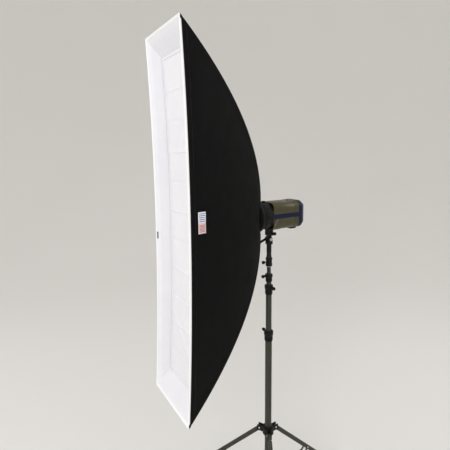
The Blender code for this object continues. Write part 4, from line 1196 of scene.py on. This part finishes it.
rubber = Finish("black_rubber", (0.010, 0.010, 0.010), 0.8, Specular_IOR_Level=0.3)
rubber.feed("Roughness", 0.68 + 0.2 * rubber.noise(0.01, 3))
rubber.bump(rubber.noise(0.0012, 3), 0.0003)
dressed("rear_foot", "rubber_foot", rubber, "head", "rubber", 0.0012)


# ---- tilting bracket ----
# Cast in two halves that turn on a steel bolt: the tongue under the head, with the hole and screw
# for an umbrella, and the yoke on the stand socket. A moulded lever clamps them.
dressed("tilt_tongue", "cast_tongue", powder, "head", "black_casting", 0.0012)
dressed("tilt_yoke", "cast_yoke", powder, "swivel", "black_casting", 0.0010)
dressed("tilt_bolt", "pivot_bolt", turned_steel, "swivel", "satin_steel", 0.0004)
dressed("tilt_lever", "clamp_lever", moulded, "lever", "black_plastic", 0.0014)

# ---- stand socket ----
# A turned shaft of blackened steel with a black clamping collar, which stands over the stand's
# spigot.
socket_low, socket_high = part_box("stand_socket")
socket_base = Vector(joints["head_swivel"]["pos_m"])
SOCKET_TALL = socket_high.z - socket_low.z
SOCKET_R = 0.0125
COLLAR_R = 0.0165
COLLAR_TALL = 0.045
SPIGOT_ROOM = 0.0083
SPIGOT_TALL = 0.072
shaft = spun(
    "steel_shaft",
    [
        (0, SOCKET_TALL),
        (SOCKET_R - 0.001, SOCKET_TALL),
        (SOCKET_R, SOCKET_TALL - 0.001),
        (SOCKET_R, COLLAR_TALL + 0.022),
        (SOCKET_R - 0.0012, COLLAR_TALL + 0.020),
        (SOCKET_R - 0.0012, COLLAR_TALL + 0.016),
        (SOCKET_R, COLLAR_TALL + 0.014),
        (SOCKET_R, 0.001),
        (SPIGOT_ROOM, 0.001),
        (SPIGOT_ROOM, SPIGOT_TALL),
        (0, SPIGOT_TALL),
    ],
    socket_base,
    (0, 0, 1),
    blackened,
    "swivel",
    "satin_steel",
    64,
    False,
)
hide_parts("stand_socket")
spun(
    "clamp_collar",
    [
        (COLLAR_R - 0.003, COLLAR_TALL),
        (COLLAR_R - 0.0008, COLLAR_TALL - 0.002),
        (COLLAR_R, COLLAR_TALL - 0.004),
        (COLLAR_R, COLLAR_TALL * 0.70),
        (COLLAR_R - 0.0014, COLLAR_TALL * 0.66),
        (COLLAR_R - 0.0014, COLLAR_TALL * 0.34),
        (COLLAR_R, COLLAR_TALL * 0.30),
        (COLLAR_R, 0.001),
        (COLLAR_R - 0.001, 0),
        (SOCKET_R + 0.0001, 0),
        (SOCKET_R + 0.0001, COLLAR_TALL),
    ],
    socket_base,
    (0, 0, 1),
    moulded,
    "swivel",
    "black_plastic",
    64,
)
dressed("spigot", "steel_spigot", turned_steel, "column_4", "satin_steel", 0.0)

# ---- column ----
# Four drawn aluminium tubes, dark olive anodised, that slide in each other. Moulded collars with
# ribbed grips clamp them.
anodised = Finish("olive_anodised", (0.05, 0.05, 0.040), 0.36, 0.7)
anodised_streak = anodised.noise(0.006, 3)
anodised.cloud(0.05, 4, (0.040, 0.040, 0.032), (0.060, 0.060, 0.048))
anodised.feed("Roughness", 0.30 + 0.16 * anodised_streak)
anodised.bump(anodised_streak, 0.00008)
column_y = socket_base.y
COLUMN = Vector((0, column_y, 0))
TUBE_WALL = 0.00125
column_bodies = ("base_column", "column_2", "column_3", "column_4")
for number, body in enumerate(column_bodies, 1):
    low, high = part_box(f"column_tube_{number}")
    radius = high.x
    tube = spun(
        f"drawn_tube_{number}",
        [
            (radius - 0.0003, high.z),
            (radius, high.z - 0.0003),
            (radius, low.z + 0.0003),
            (radius - 0.0003, low.z),
            (radius - TUBE_WALL, low.z),
            (radius - TUBE_WALL, high.z),
        ],
        COLUMN,
        (0, 0, 1),
        anodised,
        body,
        "anodised_tube",
        64,
    )
    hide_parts(f"column_tube_{number}")

COLLAR_GRIP = (0.030, 0.028, 0.022)
COLLAR_WALL = 0.006
for number, body in enumerate(column_bodies[:3], 1):
    low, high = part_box(f"lock_collar_{number}")
    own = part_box(f"column_tube_{number}")[1].x + 0.0004
    upper_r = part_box(f"column_tube_{number + 1}")[1].x + 0.0006
    outside = own + COLLAR_WALL
    tall = high.z - low.z
    grip = COLLAR_GRIP[number - 1]
    collar_profile = [(outside - 0.0022, tall), (outside - 0.0006, tall - 0.0012), (outside, tall - 0.003)]
    collar_profile += [(outside, tall * 0.64), (outside - 0.0008, tall * 0.59)]
    collar_profile += [(outside - 0.0026, tall * 0.55)]
    ribs = 5
    rib_r = own + COLLAR_WALL * 0.62
    groove_r = own + COLLAR_WALL * 0.50
    for rib in range(ribs):
        height = tall * (0.50 - 0.44 * rib / ribs)
        collar_profile += [(rib_r, height), (rib_r, height - tall * 0.045)]
        collar_profile += [(groove_r, height - tall * 0.052), (groove_r, height - tall * 0.080)]
    collar_profile += [(own + COLLAR_WALL * 0.42, 0), (own, 0)]
    collar_profile += [(own, grip), (upper_r, grip), (upper_r, tall)]
    grip_piece = spun(
        f"ribbed_collar_{number}",
        collar_profile,
        COLUMN + Vector((0, 0, low.z)),
        (0, 0, 1),
        moulded,
        body,
        "black_plastic",
        64,
    )
    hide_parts(f"lock_collar_{number}")
    screw = joints[f"lock_screw_{number}_turn"]
    way = Vector(screw["axis"])
    spun(
        f"collar_boss_{number}",
        [
            (0.0058, 0.0075),
            (0.0066, 0.0066),
            (0.0072, -0.003),
            (STEM_R + 0.0003, -0.003),
            (STEM_R + 0.0003, 0.0075),
        ],
        Vector(screw["pos_m"]),
        way,
        moulded,
        body,
        "black_plastic",
        32,
    )

# ---- legs ----
# The moulded hub slides on the lowest tube. Each leg is a tube riveted between the hub's cheeks, with
# a rubber boot, and a pressed brace joins it to the base bracket.
dressed("leg_hub", "moulded_hub", moulded, "hub", "black_plastic", 0.0008)
dressed("base_bracket", "moulded_base", moulded, "base_column", "black_plastic", 0.0008)
LEG_DIP = math.radians(44)
LEG_LONG = 0.720
LEG_R = 0.011
BOOT_R = 0.014
BOOT_LONG = 0.050
BOOT_SOLE = 0.018
BRACE_LONG = 0.325
HINGE_RIVET_OUT = 0.0118
ELBOW_RIVET_OUT = 0.0138
for number in (1, 2, 3):
    body = f"leg_{number}_body"
    pivot = Vector(joints[f"leg_{number}_fold"]["pos_m"])
    across = Vector(joints[f"leg_{number}_fold"]["axis"])
    out = across.cross(Vector((0, 0, 1)))
    way = out * math.cos(LEG_DIP) - Vector((0, 0, math.sin(LEG_DIP)))
    dressed(f"leg_{number}", f"leg_core_{number}", anodised, body, "anodised_tube", 0.0003)
    spun(
        f"leg_tube_{number}",
        [
            (LEG_R + 0.0002, LEG_LONG - BOOT_SOLE),
            (LEG_R + 0.0002, 0.0225),
            (LEG_R - 0.0006, 0.0218),
            (LEG_R - 0.0012, 0.0218),
            (LEG_R - 0.0012, LEG_LONG - BOOT_SOLE),
        ],
        pivot,
        way,
        anodised,
        body,
        "anodised_tube",
        48,
    )
    boot_profile = [(0, LEG_LONG), (BOOT_R - 0.003, LEG_LONG), (BOOT_R, LEG_LONG - 0.003)]
    for ring_number in range(6):
        height = LEG_LONG - 0.008 - 0.006 * ring_number
        boot_profile += [(BOOT_R, height), (BOOT_R - 0.0009, height - 0.001)]
        boot_profile += [(BOOT_R - 0.0009, height - 0.0022), (BOOT_R, height - 0.0032)]
    boot_profile += [(BOOT_R - 0.0012, LEG_LONG - BOOT_LONG), (LEG_R + 0.0003, LEG_LONG - BOOT_LONG)]
    boot_profile += [(LEG_R + 0.0003, LEG_LONG - BOOT_SOLE + 0.0003), (0, LEG_LONG - BOOT_SOLE + 0.0003)]
    boot = spun(f"rubber_boot_{number}", boot_profile, pivot, way, rubber, body, "rubber", 48, False)
    bm = bmesh.new()
    bm.from_mesh(boot.data)
    cut = bmesh.ops.bisect_plane(
        bm,
        geom=list(bm.verts) + list(bm.edges) + list(bm.faces),
        plane_co=(0, 0, 0.0001),
        plane_no=(0, 0, -1),
        clear_outer=True,
    )
    rim = [item for item in cut["geom_cut"] if isinstance(item, bmesh.types.BMEdge)]
    bmesh.ops.edgeloop_fill(bm, edges=rim)
    bm.to_mesh(boot.data)
    bm.free()
    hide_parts(f"boot_{number}")
    brace_body = f"brace_{number}_body"
    dressed(f"brace_{number}", f"pressed_brace_{number}", anodised, brace_body, "anodised_tube", 0.0005)
    for place, reach, word in (
        (pivot, HINGE_RIVET_OUT, "hinge"),
        (pivot + way * BRACE_LONG, ELBOW_RIVET_OUT, "elbow"),
    ):
        for side in (1, -1):
            spun(
                f"{word}_rivet_{number}_{'right' if side > 0 else 'left'}",
                [(0, 0.0024), (0.0026, 0.0021), (0.0044, 0.0010), (0.0050, 0), (0, 0)],
                place + across * side * reach,
                across * side,
                turned_steel,
                body,
                "anodised_tube",
                28,
                False,
            )

# ---- floor ----
# A plain pale sweep under the feet.
pale = Finish("pale_floor", (0.80, 0.79, 0.77), 0.9)
pale.cloud(1.5, 2, (0.79, 0.78, 0.76), (0.81, 0.80, 0.78))
floor.data.materials.append(pale.material)
